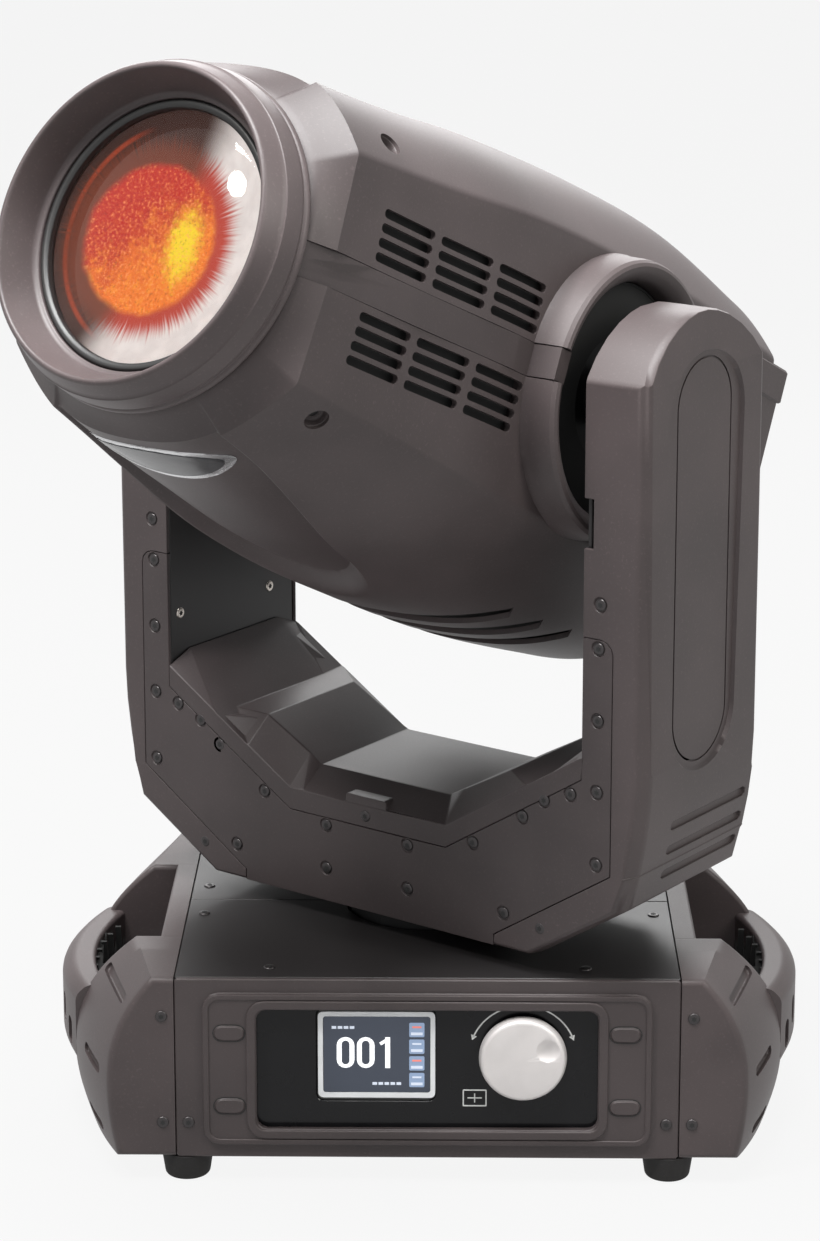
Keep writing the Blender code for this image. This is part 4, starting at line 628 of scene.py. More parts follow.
def softened_outline(points, radius, steps=3):
    """The outline with each corner rounded, where its sides leave room."""
    soft = []
    count = len(points)
    for here in range(count):
        corner = Vector(points[here])
        if corner.x == 0:
            soft.append(tuple(corner))
            continue
        before, after = Vector(points[here - 1]) - corner, Vector(points[(here + 1) % count]) - corner
        reach = min(radius, before.length * 0.45, after.length * 0.45)
        start, end = corner + before.normalized() * reach, corner + after.normalized() * reach
        for step in range(steps + 1):
            share = step / steps
            bend = start.lerp(corner, share).lerp(corner.lerp(end, share), share)
            soft.append((max(0.0, bend.x), bend.y))
    return soft


def stepped_profile(radius, sides, end):
    """An outline for a spin, from the axis out and back; sides are (part of the radius, height)."""
    return [(0, 0)] + [(radius * part, height) for part, height in sides] + [(0, end)]


# Screws


def screw_shapes():
    """A round head with a softened rim, and a thin star at its top whose near-black is painted shade for a sunk
    socket.
    """
    radius = sizes().screw
    profile = [(0, -0.0012), (radius, -0.0012), (radius, 0.0001), (radius * 0.86, 0.0006), (0, 0.0007)]
    head = spun(softened_outline(profile, 0.0002, 2), 24)
    star = bmesh.new()
    bmesh.ops.create_circle(star, cap_ends=True, segments=12, radius=radius * 0.5)
    for number, point in enumerate(star.verts):
        if number % 2:
            point.co *= 0.66
    bmesh.ops.translate(star, vec=(0, 0, 0.0006), verts=star.verts)
    for face in thickened(star, (0, 0, 0.00018)).faces:
        face.material_index = 1
    return [head, star]


def screws_at(places):
    return merged([moved(shape, place) for place in places for shape in screw_shapes()])


def seats_at(places, depth=0.0008):
    """Cutters for the sunk seats of screws."""
    narrow, wide = sizes().seat * 0.86, sizes().seat * 1.12
    return merged([moved(cone(narrow, wide, depth * 2, 24), place) for place in places])


def sunk(places, depth=0.0004):
    """The same places, let in by a depth."""
    return [place @ Matrix.Translation((0, 0, -depth)) for place in places]


def on_face(frame_matrix, turn, spots):
    """Places for screws on a flat face: its frame, the turn that faces out of it and points on it."""
    return [frame_matrix @ Matrix.Translation(spot) @ turn for spot in spots]


# Half of the yoke's depth, and where the screws of its plates and of an arm's cover are: across and height
YOKE_FACE = 0.0616
PLATE_SPOTS = (
    (0.159, 0.306), (0.159, 0.265), (0.159, 0.224), (0.159, 0.182), (0.1415, 0.2195), (0.124, 0.2125),
    (0.1095, 0.200), (0.0755, 0.1775), (0.0295, 0.166), (0.0295, 0.1395), (0.097, 0.140), (0.122, 0.1365),
)
ARM_SPOT = (0.160, 0.331)


def plate_spots(side, spots):
    return [(end * across, side * YOKE_FACE, height) for across, height in spots for end in (-1, 1)]


# Head covers


def smooth_between(keys, place):
    """A smooth curve through (place, value) keys, level past both ends."""
    rows = sorted(keys)
    place = min(max(place, rows[0][0]), rows[-1][0])
    number = next(n for n in range(len(rows) - 1) if place <= rows[n + 1][0])
    (low, start), (high, end) = rows[number], rows[number + 1]

    def slope(index):
        near, far = max(0, index - 1), min(len(rows) - 1, index + 1)
        return (rows[far][1] - rows[near][1]) / (rows[far][0] - rows[near][0])

    run = high - low
    share = (place - low) / run
    first, last = slope(number) * run, slope(number + 1) * run
    rise = end - start
    return start + share * (first + share * (3 * rise - 2 * first - last + share * (first + last - 2 * rise)))


# Bend and weight of the upper and of the lower cover's arc
UPPER_ARC, LOWER_ARC = [0.64, 1.50], [0.52, 1.50]


def head_size(place, level):
    """Half width, edge height and crown height of a cover at a place, with the bend and weight of its arc."""
    columns = (1, 2, 3) if level > 0 else (1, 2, 4)
    size = [smooth_between([(row[0], row[column]) for row in HEAD_SECTIONS], place) for column in columns]
    return size + (UPPER_ARC if level > 0 else LOWER_ARC)


def cover_arc(place, level):
    """Half width, edge height and shoulder of a cover at a place, and what conic needs for its arc."""
    width, edge, crown, bend, weight = head_size(place, level)
    shoulder = width - SIDE_LEAN * (edge - BAND_HALF)
    return width, edge, shoulder, (crown, (shoulder * bend, crown), (shoulder, edge), weight)


def last_before(short_of, high=1.0, rounds=26):
    """The largest share for which a test still holds, found by halving."""
    low = 0.0
    for _ in range(rounds):
        middle = (low + high) / 2
        if short_of(middle):
            low = middle
        else:
            high = middle
    return low


def conic(share, crown, middle, end, weight):
    """A point of the arc from the crown to the sides' edge; the edge stays a crease."""
    first, second, third = (1 - share) ** 2, 2 * weight * share * (1 - share), share**2
    total = first + second + third
    across = (second * middle[0] + third * end[0]) / total
    height = (first * crown + second * middle[1] + third * end[1]) / total
    return across, height


def soft_step(value):
    share = min(1.0, max(0.0, value))
    return share * share * (3 - 2 * share)


# The scooped tongue on each cover: where its round tip starts, how long that is and half its width there,
# then half widths of its outline and widths of its sloped rim at places along the beam
TONGUE_TIP, TONGUE_NOSE, TONGUE_HALF = 0.112, 0.080, 0.052
TONGUE_HALVES = ((TONGUE_TIP, TONGUE_HALF), (0.200, 0.0585), (0.257, 0.056))
TONGUE_RIMS = ((TONGUE_TIP, 0.008), (0.200, 0.0045), (0.257, 0.003))

# The part of the tongue's depth that is left at its front, and where its floor rises and its rim fades out:
# the end and the length of each
TONGUE_SHALLOW, TONGUE_RISE, TONGUE_FADE = 0.30, (0.262, 0.15), (0.272, 0.03)
RIM_SOFT = 0.6


def tip_rim(past):
    """Width of the sloped rim round the tongue's tip, at a share of the tip's length."""
    return TONGUE_RIMS[0][1] + 0.010 * past**2


def tongue_depth(across, place):
    """How deep the scooped tongue is at a spot on a cover: it starts at the lens and ends in a round tip."""
    if place < TONGUE_TIP:
        past = (TONGUE_TIP - place) / TONGUE_NOSE
        inside = (1 - math.hypot(across / TONGUE_HALF, past)) * TONGUE_HALF
        rim = tip_rim(past)
    else:
        inside = smooth_between(TONGUE_HALVES, place) - abs(across)
        rim = smooth_between(TONGUE_RIMS, place)
    rise, fade = [soft_step((end - place) / long) for end, long in (TONGUE_RISE, TONGUE_FADE)]
    deep = sizes().tongue * (TONGUE_SHALLOW + (1 - TONGUE_SHALLOW) * rise) * fade
    share = min(1.0, max(0.0, inside / rim))
    return deep * ((1 - RIM_SOFT) * share + RIM_SOFT * soft_step(share))


def tongue_rim(place):
    """Half widths of the tongue's floor and of its outline at a place."""
    if place >= TONGUE_TIP:
        outline = smooth_between(TONGUE_HALVES, place)
        return outline - smooth_between(TONGUE_RIMS, place), outline
    past = (TONGUE_TIP - place) / TONGUE_NOSE
    floor = (1 - tip_rim(past) / TONGUE_HALF) ** 2 - past**2
    return TONGUE_HALF * math.sqrt(floor), TONGUE_HALF * math.sqrt(1 - past**2)


# Grid steps over a cover's arc, crease and side, the part of the arc before the crease, the crease's reach
# on the side, the covers' ends along the beam and the length of their rounded lips
AROUND_ARC = 80
AROUND_CREASE = 4
AROUND_SIDE = 7
AROUND = AROUND_ARC + AROUND_CREASE + AROUND_SIDE
ARC_END = 0.985
CREASE = 0.0018
SHELL_FRONT = HEAD_SECTIONS[0][0]
SHELL_REAR = HEAD_SECTIONS[-1][0]
LIP = 0.004
SHELL_ROWS = 150


def shell_rows(front, rear, count):
    """Places along the beam, closer together at both lips."""
    ends = [0.0, 0.0006, 0.0016, 0.003]
    inner = [front - LIP + (rear - front + 2 * LIP) * step / count for step in range(count + 1)]
    nearest = min(range(len(inner)), key=lambda number: abs(inner[number] - CHAMFER_START))
    inner[nearest] = CHAMFER_START
    return [front - end for end in ends] + inner + [rear + end for end in reversed(ends)]


def lip_inset(place, front, rear):
    """How far a lip is rounded in at a place."""
    near = max(0.0, LIP - min(front - place, place - rear)) / LIP
    return LIP * (1 - math.sqrt(max(0.0, 1 - near * near))) * 0.75


def shell_point(share, place, level, inset=0.0):
    """A point of a cover: share runs from 0 at the crown to 1 at the band, signed by side."""
    width, edge, shoulder, arc = cover_arc(place, level)
    side = 1 if share >= 0 else -1
    steps = abs(share) * AROUND
    wall_start = CREASE / (edge - BAND_HALF)
    if steps <= AROUND_ARC:
        across, height = conic(steps / AROUND_ARC * ARC_END, *arc)
    elif steps < AROUND_ARC + AROUND_CREASE:
        turn = (steps - AROUND_ARC) / AROUND_CREASE
        start, corner = Vector(conic(ARC_END, *arc)), Vector((shoulder, edge))
        end = corner.lerp(Vector((width, BAND_HALF)), wall_start)
        across, height = start.lerp(corner, turn).lerp(corner.lerp(end, turn), turn)
    else:
        fall = (steps - AROUND_ARC - AROUND_CREASE) / AROUND_SIDE
        fall = wall_start + (1 - wall_start) * fall
        across = shoulder + (width - shoulder) * fall
        height = edge + (BAND_HALF - edge) * fall
    height -= tongue_depth(across, place) if height > edge else 0.0
    reach = math.hypot(across, height)
    round_share = max(0.0, (place - CHAMFER_START) / (SHELL_FRONT - CHAMFER_START))
    wanted = reach + (FRONT_RADIUS - reach) * round_share - inset
    scale = wanted / reach
    return Vector((side * across * scale, -place, level * max(height * scale, BAND_HALF)))


# Grid columns that run along the tongue's rim, and the share of its tip that they follow
RIM_COLUMNS = (40, 47)
RIM_HOLD = 0.7


def rim_shares(place, level):
    """Where on a cover's arc the columns of the tongue's rim lie."""
    arc = cover_arc(place, level)[3]
    free = soft_step((TONGUE_TIP - place) / TONGUE_NOSE - RIM_HOLD)
    shares = []
    for wanted, column in zip(tongue_rim(max(place, TONGUE_TIP - RIM_HOLD * TONGUE_NOSE)), RIM_COLUMNS):
        share = last_before(lambda middle: conic(middle * ARC_END, *arc)[0] < wanted)
        shares.append(share + (column / AROUND_ARC - share) * free)
    return shares


def fitted(share, start, end):
    """A share of a cover's half round, moved so that the rim's columns lie where they should."""
    part = abs(share) * AROUND / AROUND_ARC
    if part >= 1:
        return share
    first, last = (column / AROUND_ARC for column in RIM_COLUMNS)
    if part < first:
        part = start * part / first
    elif part < last:
        part = start + (end - start) * (part - first) / (last - first)
    else:
        part = end + (1 - end) * (part - last) / (1 - last)
    return math.copysign(part * AROUND_ARC / AROUND, share)


def shell_sheet(level, front, rear, rows, inset=0.0, lips=True, spread=1.0):
    """A cover's outer skin, a grid bent to its sections; spread is the part of its half round it covers."""
    places = shell_rows(front, rear, rows)
    rims = [rim_shares(place, level) for place in places]
    shape = bmesh.new()
    bmesh.ops.create_grid(shape, x_segments=2 * AROUND, y_segments=len(places) - 1, size=1.0)
    for point in shape.verts:
        row = round((point.co.y + 1) / 2 * (len(places) - 1))
        place = places[row]
        tuck = inset + (lip_inset(place, front, rear) if lips else 0.0)
        point.co = shell_point(fitted(point.co.x * spread, *rims[row]), place, level, tuck)
    face_out(shape)
    if sum(face.normal.z * level for face in shape.faces) < 0:
        bmesh.ops.reverse_faces(shape, faces=shape.faces)
    return shape


# Outline of the ring round a pivot as (radius, distance from the beam) points, and the bore in it
COLLAR = (
    (0.0665, 0.108), (0.0806, 0.108), (0.0806, 0.1185), (0.0800, 0.1215), (0.0797, 0.1250),
    (0.0794, 0.1330), (0.0788, 0.1370), (0.0774, 0.1392), (0.0755, 0.1400), (0.0735, 0.1395),
    (0.0710, 0.1379), (0.0686, 0.1357), (0.0670, 0.1335), (0.0662, 0.1310), (0.0660, 0.1250),
)
PIVOT_BORE = 0.066
THROUGH = 0.4


def collar(side, level):
    """Half of the flared ring round a pivot."""
    turn = FACE_RIGHT if side > 0 else FACE_LEFT
    ring = moved(spun(COLLAR, 96), turn)
    low = BAND_HALF + 0.0001
    keep_out = block(THROUGH, THROUGH, THROUGH, centre=(0, 0, level * (low - THROUGH / 2)))
    return carved(ring, cuts=[keep_out])


# Side vents: slots in rows and columns, their first places, pitches, length and height
VENT_COLUMNS, VENT_FRONT, VENT_PITCH, VENT_LONG = 3, 0.2115, 0.0457, 0.0405
VENT_ROWS, VENT_LOW, VENT_RISE, VENT_TALL = 4, 0.016, 0.0077, 0.005


def vent_cutters(level):
    cutters = []
    for side in (-1, 1):
        for column in range(VENT_COLUMNS):
            place = VENT_FRONT - VENT_PITCH * column - VENT_LONG / 2
            for row in range(VENT_ROWS):
                height = level * (VENT_LOW + VENT_RISE * row)
                slot = block(VENT_TALL, VENT_LONG, 0.06, 0.0023, 3)
                cutters.append(moved(slot, Matrix.Translation((side * 0.115, -place, height)) @ FACE_RIGHT))
    return merged(cutters)


# Louvres below the head: the first one's place, pitch, half length, sweep, half width and height range
LOUVRES, LOUVRE_FIRST, LOUVRE_PITCH = 3, -0.012, 0.033
LOUVRE_REACH, LOUVRE_SWEEP, LOUVRE_HALF = 0.073, 0.028, 0.0098
LOUVRE_TOP, LOUVRE_DEEP = -0.095, -0.07


def louvre_cutters():
    """Swept slots across the underside, narrower towards their ends."""
    cutters = []
    for number in range(LOUVRES):
        middle = LOUVRE_FIRST - LOUVRE_PITCH * number
        slot = bmesh.new()
        bmesh.ops.create_grid(slot, x_segments=16, y_segments=1, size=1.0)
        for point in slot.verts:
            across, along = point.co.x, point.co.y
            end = 1 - 0.10 * (along > 0)
            place = middle - LOUVRE_SWEEP * across * across - LOUVRE_HALF * along * (1 - 0.55 * across**4)
            point.co = (LOUVRE_REACH * across * end, -place, LOUVRE_TOP)
        cutters.append(thickened(slot, (0, 0, LOUVRE_DEEP)))
    return merged(cutters)


def cover_screw_places(level):
    """Where the sunk screws of a cover are, facing out of its skin."""
    places = []
    for side in (-1, 1):
        forward, share = (0.207, 0.79) if level > 0 else (0.210, 0.835)
        spot = shell_point(side * share, forward, level)
        ahead = shell_point(side * share, forward + 0.01, level) - spot
        beside = shell_point(side * (share + 0.05), forward, level) - spot
        out = ahead.cross(beside).normalized()
        out = -out if out.dot(Vector((spot.x, 0, spot.z))) < 0 else out
        places.append(Matrix.Translation(spot) @ out.to_track_quat("Z", "Y").to_matrix().to_4x4())
    return places


# The cup behind a sunk screw as (radius, height) points, and how deep the screw lies in it
CUP = ((0, -0.0090), (0.0078, -0.0090), (0.0078, -0.0018), (0.0064, -0.0018), (0.0056, -0.0058), (0, -0.0064))
CUP_DEEP = 0.0062


def dimple_cutters(level):
    return merged([moved(cone(0.0060, 0.0076, 0.016, 32), place) for place in cover_screw_places(level)])


def dimple_cups(level):
    """Closed cups behind the sunk screws."""
    profile = softened_outline(CUP, 0.0012)
    return merged([moved(spun(profile, 32), place) for place in cover_screw_places(level)])


# The box-shaped rear cover: half its height and its front end. The plates that close the covers over it:
# their size, place and height
REAR_SEAM, REAR_START = 0.0685, 0.0878
LID, LID_PLACE, LID_HEIGHT = (0.231, 0.0188, 0.0020), 0.1774, 0.0667


def rear_gap(level):
    """Room for the box-shaped rear cover."""
    past, long = 0.02, 0.2
    centre = (0, REAR_START + long / 2, level * (REAR_SEAM - past) / 2)
    return block(0.3, long, REAR_SEAM + past, centre=centre)


# Slots in a cover's rear wall: how many each side of the middle, pitch, width and lower end
SLOTS_BESIDE, SLOT_PITCH, SLOT_WIDE, SLOT_LOW = 4, 0.0155, 0.0055, 0.0765


def rear_wall(level):
    """A slotted wall that closes a cover behind, a little inside its lip."""
    place, thick, inside = SHELL_REAR + 0.0045, 0.0025, 0.0024
    wall = bmesh.new()
    bmesh.ops.create_circle(wall, cap_ends=True, segments=160, radius=1.0)
    for point in wall.verts:
        angle = math.atan2(point.co.y, point.co.x)
        if angle >= 0:
            point.co = shell_point(1 - 2 * angle / math.pi, place, level, inside)
        else:
            point.co = (point.co.x * 0.11, -place, level * BAND_HALF)
    thickened(wall, (0, -thick, 0))
    crown = HEAD_SECTIONS[-1][3 if level > 0 else 4]
    slots = []
    for number in range(-SLOTS_BESIDE, SLOTS_BESIDE + 1):
        across = SLOT_PITCH * number
        high = crown - 0.013 - 3.4 * across * across
        slot = block(SLOT_WIDE, high - SLOT_LOW, 0.03, 0.0026, 4)
        centre = (across, -place, level * (SLOT_LOW + high) / 2)
        slots.append(moved(slot, Matrix.Translation(centre) @ FACE_FORWARD))
    return carved(wall, cuts=[rear_gap(level), merged(slots)])


def add_head_covers():
    """The two covers with their rear walls and sunk screws."""
    for name, level in (("head_cover_upper", 1), ("head_cover_lower", -1)):
        skin = shell_sheet(level, SHELL_FRONT, SHELL_REAR, SHELL_ROWS)
        cuts = [rear_gap(level), vent_cutters(level), dimple_cutters(level)]
        cuts.append(moved(cone(PIVOT_BORE, PIVOT_BORE, THROUGH, 96), FACE_RIGHT))
        if level < 0:
            cuts.append(louvre_cutters())
        cover = carved(skin, [collar(-1, level), collar(1, level)], cuts, SHELL_WALL)
        finish_piece(moved(cover, HEAD), name + "_skin", "head", "shell", [name], 19)
        lid = block(*LID, centre=(0, LID_PLACE, level * LID_HEIGHT))
        rear = merged([rear_wall(level), lid])
        finish_piece(moved(rear, HEAD), name + "_rear", "head", "shell", (), 40, True)
        finish_piece(moved(dimple_cups(level), HEAD), name + "_cups", "head", "shell")
        screws = screws_at(sunk(cover_screw_places(level), CUP_DEEP))
        finish_piece(moved(screws, HEAD), name + "_screws", "head", SCREW_LOOK)


# Near-black sheets behind the vents and louvres, painted shade for the head's inside: level, front and rear end,
# rows, inset and part of the half round
SHADE_SHEETS = (
    (-1, 0.240, 0.078, 12, 0.0065, 1.0),
    (1, 0.240, 0.078, 12, 0.0065, 1.0),
    (-1, 0.012, -0.060, 10, 0.0055, 0.68),
    (-1, -0.068, -0.125, 10, 0.0055, 0.68),
)
SHADE_SHEET_WALL = 0.0008


def add_vent_shade_sheets():
    shade_sheets = []
    for level, front, rear, rows, inset, part in SHADE_SHEETS:
        shade_sheets.append(carved(shell_sheet(level, front, rear, rows, inset, False, part), wall=SHADE_SHEET_WALL))
    # Painted shade: the sheets stand where the head's inside would show
    finish_piece(moved(merged(shade_sheets), HEAD), "vent_screens", "head", "inside")


def flat_ring(near, far, low, high, soft):
    """A ring of rectangular section with softened edges."""
    return spun(softened_outline([(near, low), (far, low), (far, high), (near, high)], soft), 96)


def add_pivot_shields():
    """Dark discs inside the collars, each with a raised rim."""
    shields = []
    for turn in (FACE_LEFT, FACE_RIGHT):
        shields.append(moved(flat_ring(0.0352, 0.0655, 0.1225, 0.1245, 0.0004), turn))
        shields.append(moved(flat_ring(0.0640, 0.0652, 0.1243, 0.1252, 0.0003), turn))
    finish_piece(moved(merged(shields), HEAD), "pivot_shields", "head", "inside")


def shell_reach(across, height, place, rounds=18):
    """How far from the beam a cover's skin is, in the direction of a point."""
    level = 1 if height > 0 else -1
    wanted = math.atan2(abs(across), abs(height))
    low, high = 0.0, 1.0
    for _ in range(rounds):
        middle = (low + high) / 2
        point = shell_point(middle, place, level)
        if math.atan2(point.x, abs(point.z)) < wanted:
            low = middle
        else:
            high = middle
    return math.hypot(point.x, point.z)


# The frame between the covers: where its visible band is, how far that stands out past the covers, the room
# that its plates leave to the covers and their largest reach in the chamfer
BAND_INNER, BAND_REAR, BAND_PROUD = 0.078, 0.06, 0.0006
FRAME_ROOM, FRAME_FRONT = 0.0035, 0.0940


def add_head_frame():
    """The frame between the covers, its plates drawn in behind the covers' skins."""
    band = moved(copied("head_frame"), HEAD.inverted())
    rims = [edge for edge in band.edges if edge.calc_length() > 0.006]
    bmesh.ops.subdivide_edges(band, edges=rims, cuts=3)
    for point in band.verts:
        across, place, height = point.co.x, -point.co.y, point.co.z
        if abs(height) < BAND_HALF + 0.0005 and abs(across) > BAND_INNER and place > BAND_REAR:
            covers = shell_point(1.0, min(place, SHELL_FRONT), 1).x
            point.co.x += math.copysign(covers + BAND_PROUD - smooth_between(FRAME_WIDTHS, place), across)
        if abs(height) > BAND_HALF + 0.002 and SHELL_REAR < place:
            room = shell_reach(across, height, min(place, SHELL_FRONT)) - SHELL_WALL - FRAME_ROOM
            room = min(room, FRAME_FRONT) if place > CHAMFER_START else room
            reach = math.hypot(across, height)
            if reach > room:
                point.co.x *= room / reach
                point.co.z *= room / reach
    finish_piece(moved(band, HEAD), "head_frame_skin", "head", "sheet", ["head_frame"], 40, True)


# Bezel and lens


def along_beam(shape):
    return moved(shape, HEAD @ FACE_FORWARD)


# Outlines as (radius, place along the beam) points, and the lens's radius, seat, edge and rise
BEZEL = (
    (0.0735, 0.2580), (0.0735, 0.2672), (0.0752, 0.2678), (0.0764, 0.2690), (0.0772, 0.2712),
    (0.0828, 0.2874), (0.0836, 0.2886), (0.0852, 0.2887), (0.0864, 0.2876), (0.0900, 0.2782),
    (0.0908, 0.2768), (0.0914, 0.2764), (0.0930, 0.2650), (0.0922, 0.2638), (0.0922, 0.2630),
    (0.0932, 0.2622), (0.0938, 0.2606), (0.0935, 0.2588), (0.0915, 0.2575),
)
LENS_RADIUS, LENS_SEAT, LENS_EDGE, LENS_RISE = 0.0684, 0.2605, 0.0022, 0.0128
RING_BORE = LENS_RADIUS + 0.0003
LENS_RING = (
    (RING_BORE, 0.2536), (0.0732, 0.2536), (0.0732, 0.2655), (0.0722, 0.2668), (0.0704, 0.2668),
    (RING_BORE, 0.2655),
)
CORE_DISH = (
    (0.0682, 0.2575), (0.0682, 0.2590), (0.0660, 0.2588), (0.0590, 0.2558), (0.046, 0.2515), (0.030, 0.2494),
    (0, 0.2487), (0, 0.2470), (0.030, 0.2476), (0.0465, 0.2496), (0.0590, 0.2541),
)
DOME_STEPS = 18


def lens_dome():
    """The lens's outline: a flat back, a straight edge and a domed front."""
    rim = LENS_SEAT + LENS_EDGE
    dome = [(0, LENS_SEAT), (LENS_RADIUS, LENS_SEAT), (LENS_RADIUS, rim)]
    for step in range(1, DOME_STEPS + 1):
        angle = math.pi / 2 * step / DOME_STEPS
        across = LENS_RADIUS * math.cos(angle) if step < DOME_STEPS else 0.0
        dome.append((across, rim + LENS_RISE * math.sin(angle) ** 1.6))
    return dome


def add_lens_group():
    bezel = along_beam(spun(softened_outline(BEZEL, 0.0011), 128))
    finish_piece(bezel, "bezel_skin", "head", "bezel", ["front_bezel"], 40)
    ring = along_beam(spun(softened_outline(LENS_RING, 0.0006), 128))
    finish_piece(ring, "lens_ring_skin", "head", "black_plastic", ["lens_ring"], 40)
    finish_piece(along_beam(spun(lens_dome(), 128)), "front_lens_dome", "head", "glass", ["front_lens"], 50)
    # A dish deep in the lens that carries the painted glow and painted reflection
    finish_piece(along_beam(spun(CORE_DISH, 96)), "lens_core_dish", "head", "core", (), 60)


# Badge, feet, knob and display


# The inlay's two layers: name, share of its size, height over the skin, finish and nodes
BADGE_LAYERS = (
    ("badge_frame", 1.0, 0.0007, "badge_rim", ["badge_inlay"]),
    ("badge_field", 0.80, 0.0010, "badge_field", []),
)
BADGE_PLACE, BADGE_REACH, BADGE_HALF, BADGE_WALL = 0.2150, 0.050, 0.0175, 0.0012


def add_badge():
    """A bare leaf-shaped inlay in the tongue below the lens."""
    for name, grow, lift, look, nodes in BADGE_LAYERS:
        shape = bmesh.new()
        bmesh.ops.create_circle(shape, cap_ends=True, segments=64, radius=1.0)
        bmesh.ops.inset_region(shape, faces=shape.faces[:], thickness=0.35, use_even_offset=True)
        bmesh.ops.triangulate(shape, faces=shape.faces[:])
        bmesh.ops.subdivide_edges(shape, edges=shape.edges[:], cuts=3, use_grid_fill=True)
        for point in shape.verts:
            across = point.co.x * BADGE_REACH * (grow + 0.5) / 1.5
            place = BADGE_PLACE + point.co.y * BADGE_HALF * (1 - 0.25 * point.co.x**2) * grow
            point.co = Vector((across, -place, -lower_height(across, place) - lift))
        sheet = face_out(shape)
        if sum(face.normal.z for face in sheet.faces) > 0:
            bmesh.ops.reverse_faces(sheet, faces=sheet.faces)
        finish_piece(moved(carved(sheet, wall=BADGE_WALL), HEAD), name, "head", look, nodes, 40)


def lower_height(across, place):
    """How far below the beam the lower cover's skin is near its middle."""
    arc_part = AROUND_ARC / AROUND
    share = last_before(lambda middle: shell_point(middle, place, -1).x < abs(across), arc_part, rounds=24)
    return -shell_point(share, place, -1).z


def add_feet():
    for node in ("foot_front_left", "foot_front_right", "foot_rear_left", "foot_rear_right"):
        low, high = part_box(node)
        centre = middle_of(node)
        top, radius = high.z - low.z, (high.x - low.x) / 2
        sides = ((0.80, 0), (0.86, 0.0012), (0.98, top - 0.002), (1.0, top - 0.001), (1.0, top))
        shape = spun(softened_outline(stepped_profile(radius, sides, top), 0.0018), 48)
        bmesh.ops.translate(shape, vec=(centre.x, centre.y, low.z), verts=shape.verts)
        finish_piece(shape, node + "_rubber", "base", "rubber", [node], 40)


# The knob's finger dimple: its ball's radius and its place from the middle of the knob's face
DIMPLE_RADIUS = 0.0105
DIMPLE_PLACE = Vector((0.0142, -0.0080, 0.0064))


def add_knob():
    low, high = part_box("jog_knob")
    centre = middle_of("jog_knob")
    deep, radius = high.y - low.y, (high.x - low.x) / 2
    sides = [(0.95, 0), (1.0, 0.0006), (0.985, deep - 0.0035), (0.955, deep - 0.0012)]
    sides += [(0.90, deep - 0.0002), (0.5, deep)]
    profile = stepped_profile(radius, sides, deep + 0.0001)
    knob = moved(spun(softened_outline(profile, 0.0012), 96), FACE_FORWARD)
    bmesh.ops.translate(knob, vec=(centre.x, high.y, centre.z), verts=knob.verts)
    dimple = bmesh.new()
    bmesh.ops.create_uvsphere(dimple, u_segments=48, v_segments=32, radius=DIMPLE_RADIUS)
    face = Vector((centre.x, low.y, centre.z))
    bmesh.ops.translate(dimple, vec=face + DIMPLE_PLACE, verts=dimple.verts)
    finish_piece(carved(knob, cuts=[dimple]), "jog_knob_skin", "jog_wheel", "knob", ["jog_knob"], 40)


PRINT = 0.0002


def plate_on_screen(left, right, bottom, top, front, thick=PRINT, radius=0.0):
    """A thin rounded plate that faces forward; its front is at a given y."""
    shape = block(right - left, top - bottom, thick, radius, 4)
    centre = ((left + right) / 2, front + thick / 2, (bottom + top) / 2)
    return moved(shape, Matrix.Translation(centre) @ FACE_FORWARD)


def screen_bars(left, right, tall, lows, front, radius=0.0):
    """Printed bars of one size at several heights."""
    return [plate_on_screen(left, right, low, low + tall, front, PRINT, radius) for low in lows]


def screen_dashes(left, low, count, front):
    """A printed row of short dashes."""
    starts = [left + 0.0034 * number for number in range(count)]
    return [plate_on_screen(start, start + 0.0026, low, low + 0.0016, front) for start in starts]


def zero_shape(width, height, stroke, left, bottom, front):
    """A plain nought as a thin raised print."""
    right, top = left + width, bottom + height
    round_outer, round_inner = width * 0.49, (width - 2 * stroke) * 0.49
    outer = plate_on_screen(left, right, bottom, top, front, PRINT, round_outer)
    near, far = bottom + stroke * 0.75, top - stroke * 0.75
    hole = plate_on_screen(left + stroke, right - stroke, near, far, front - 0.001, 0.002, round_inner)
    return carved(outer, cuts=[hole])


def one_shape(width, height, stroke, left, bottom, front):
    """A plain one with its flag as a thin raised print."""
    right, top = left + width, bottom + height
    stem = plate_on_screen(right - stroke, right, bottom, top, front)
    flag = plate_on_screen(-width * 0.40, width * 0.40, -stroke * 0.34, stroke * 0.34, 0)
    place = Matrix.Translation((right - stroke * 0.5 - width * 0.30, front, top - stroke * 0.95))
    return carved(stem, [moved(flag, place @ Matrix.Rotation(-math.radians(32), 4, "Y"))])


def digits_shape(left, bottom, front):
    """The figures that the display shows."""
    tall, wide, stroke = 0.0186, 0.0100, 0.0028
    shapes = [zero_shape(wide, tall, stroke, left + step * 0.0114, bottom, front) for step in (0, 1)]
    return merged(shapes + [one_shape(0.0066, tall, stroke, left + 0.0236, bottom, front)])


def ring_arc(inner, outer, start, end, steps=20):
    """A printed strip round Z between two angles."""
    shape = bmesh.new()
    across, up = math.cos(start), math.sin(start)
    ends = [shape.verts.new((radius * across, radius * up, 0)) for radius in (inner, outer)]
    edge = shape.edges.new(ends)
    sweep = {"axis": (0, 0, 1), "cent": (0, 0, 0), "angle": end - start, "steps": steps}
    bmesh.ops.spin(shape, geom=ends + [edge], **sweep)
    return thickened(shape, (0, 0, PRINT))


# Lower ends of the display's four keys, and how far above them their signs are
KEY_ROWS = (0.0415, 0.0516, 0.0617, 0.0718)
KEY_TOP, KEY_SIGN = 0.0055, 0.0012


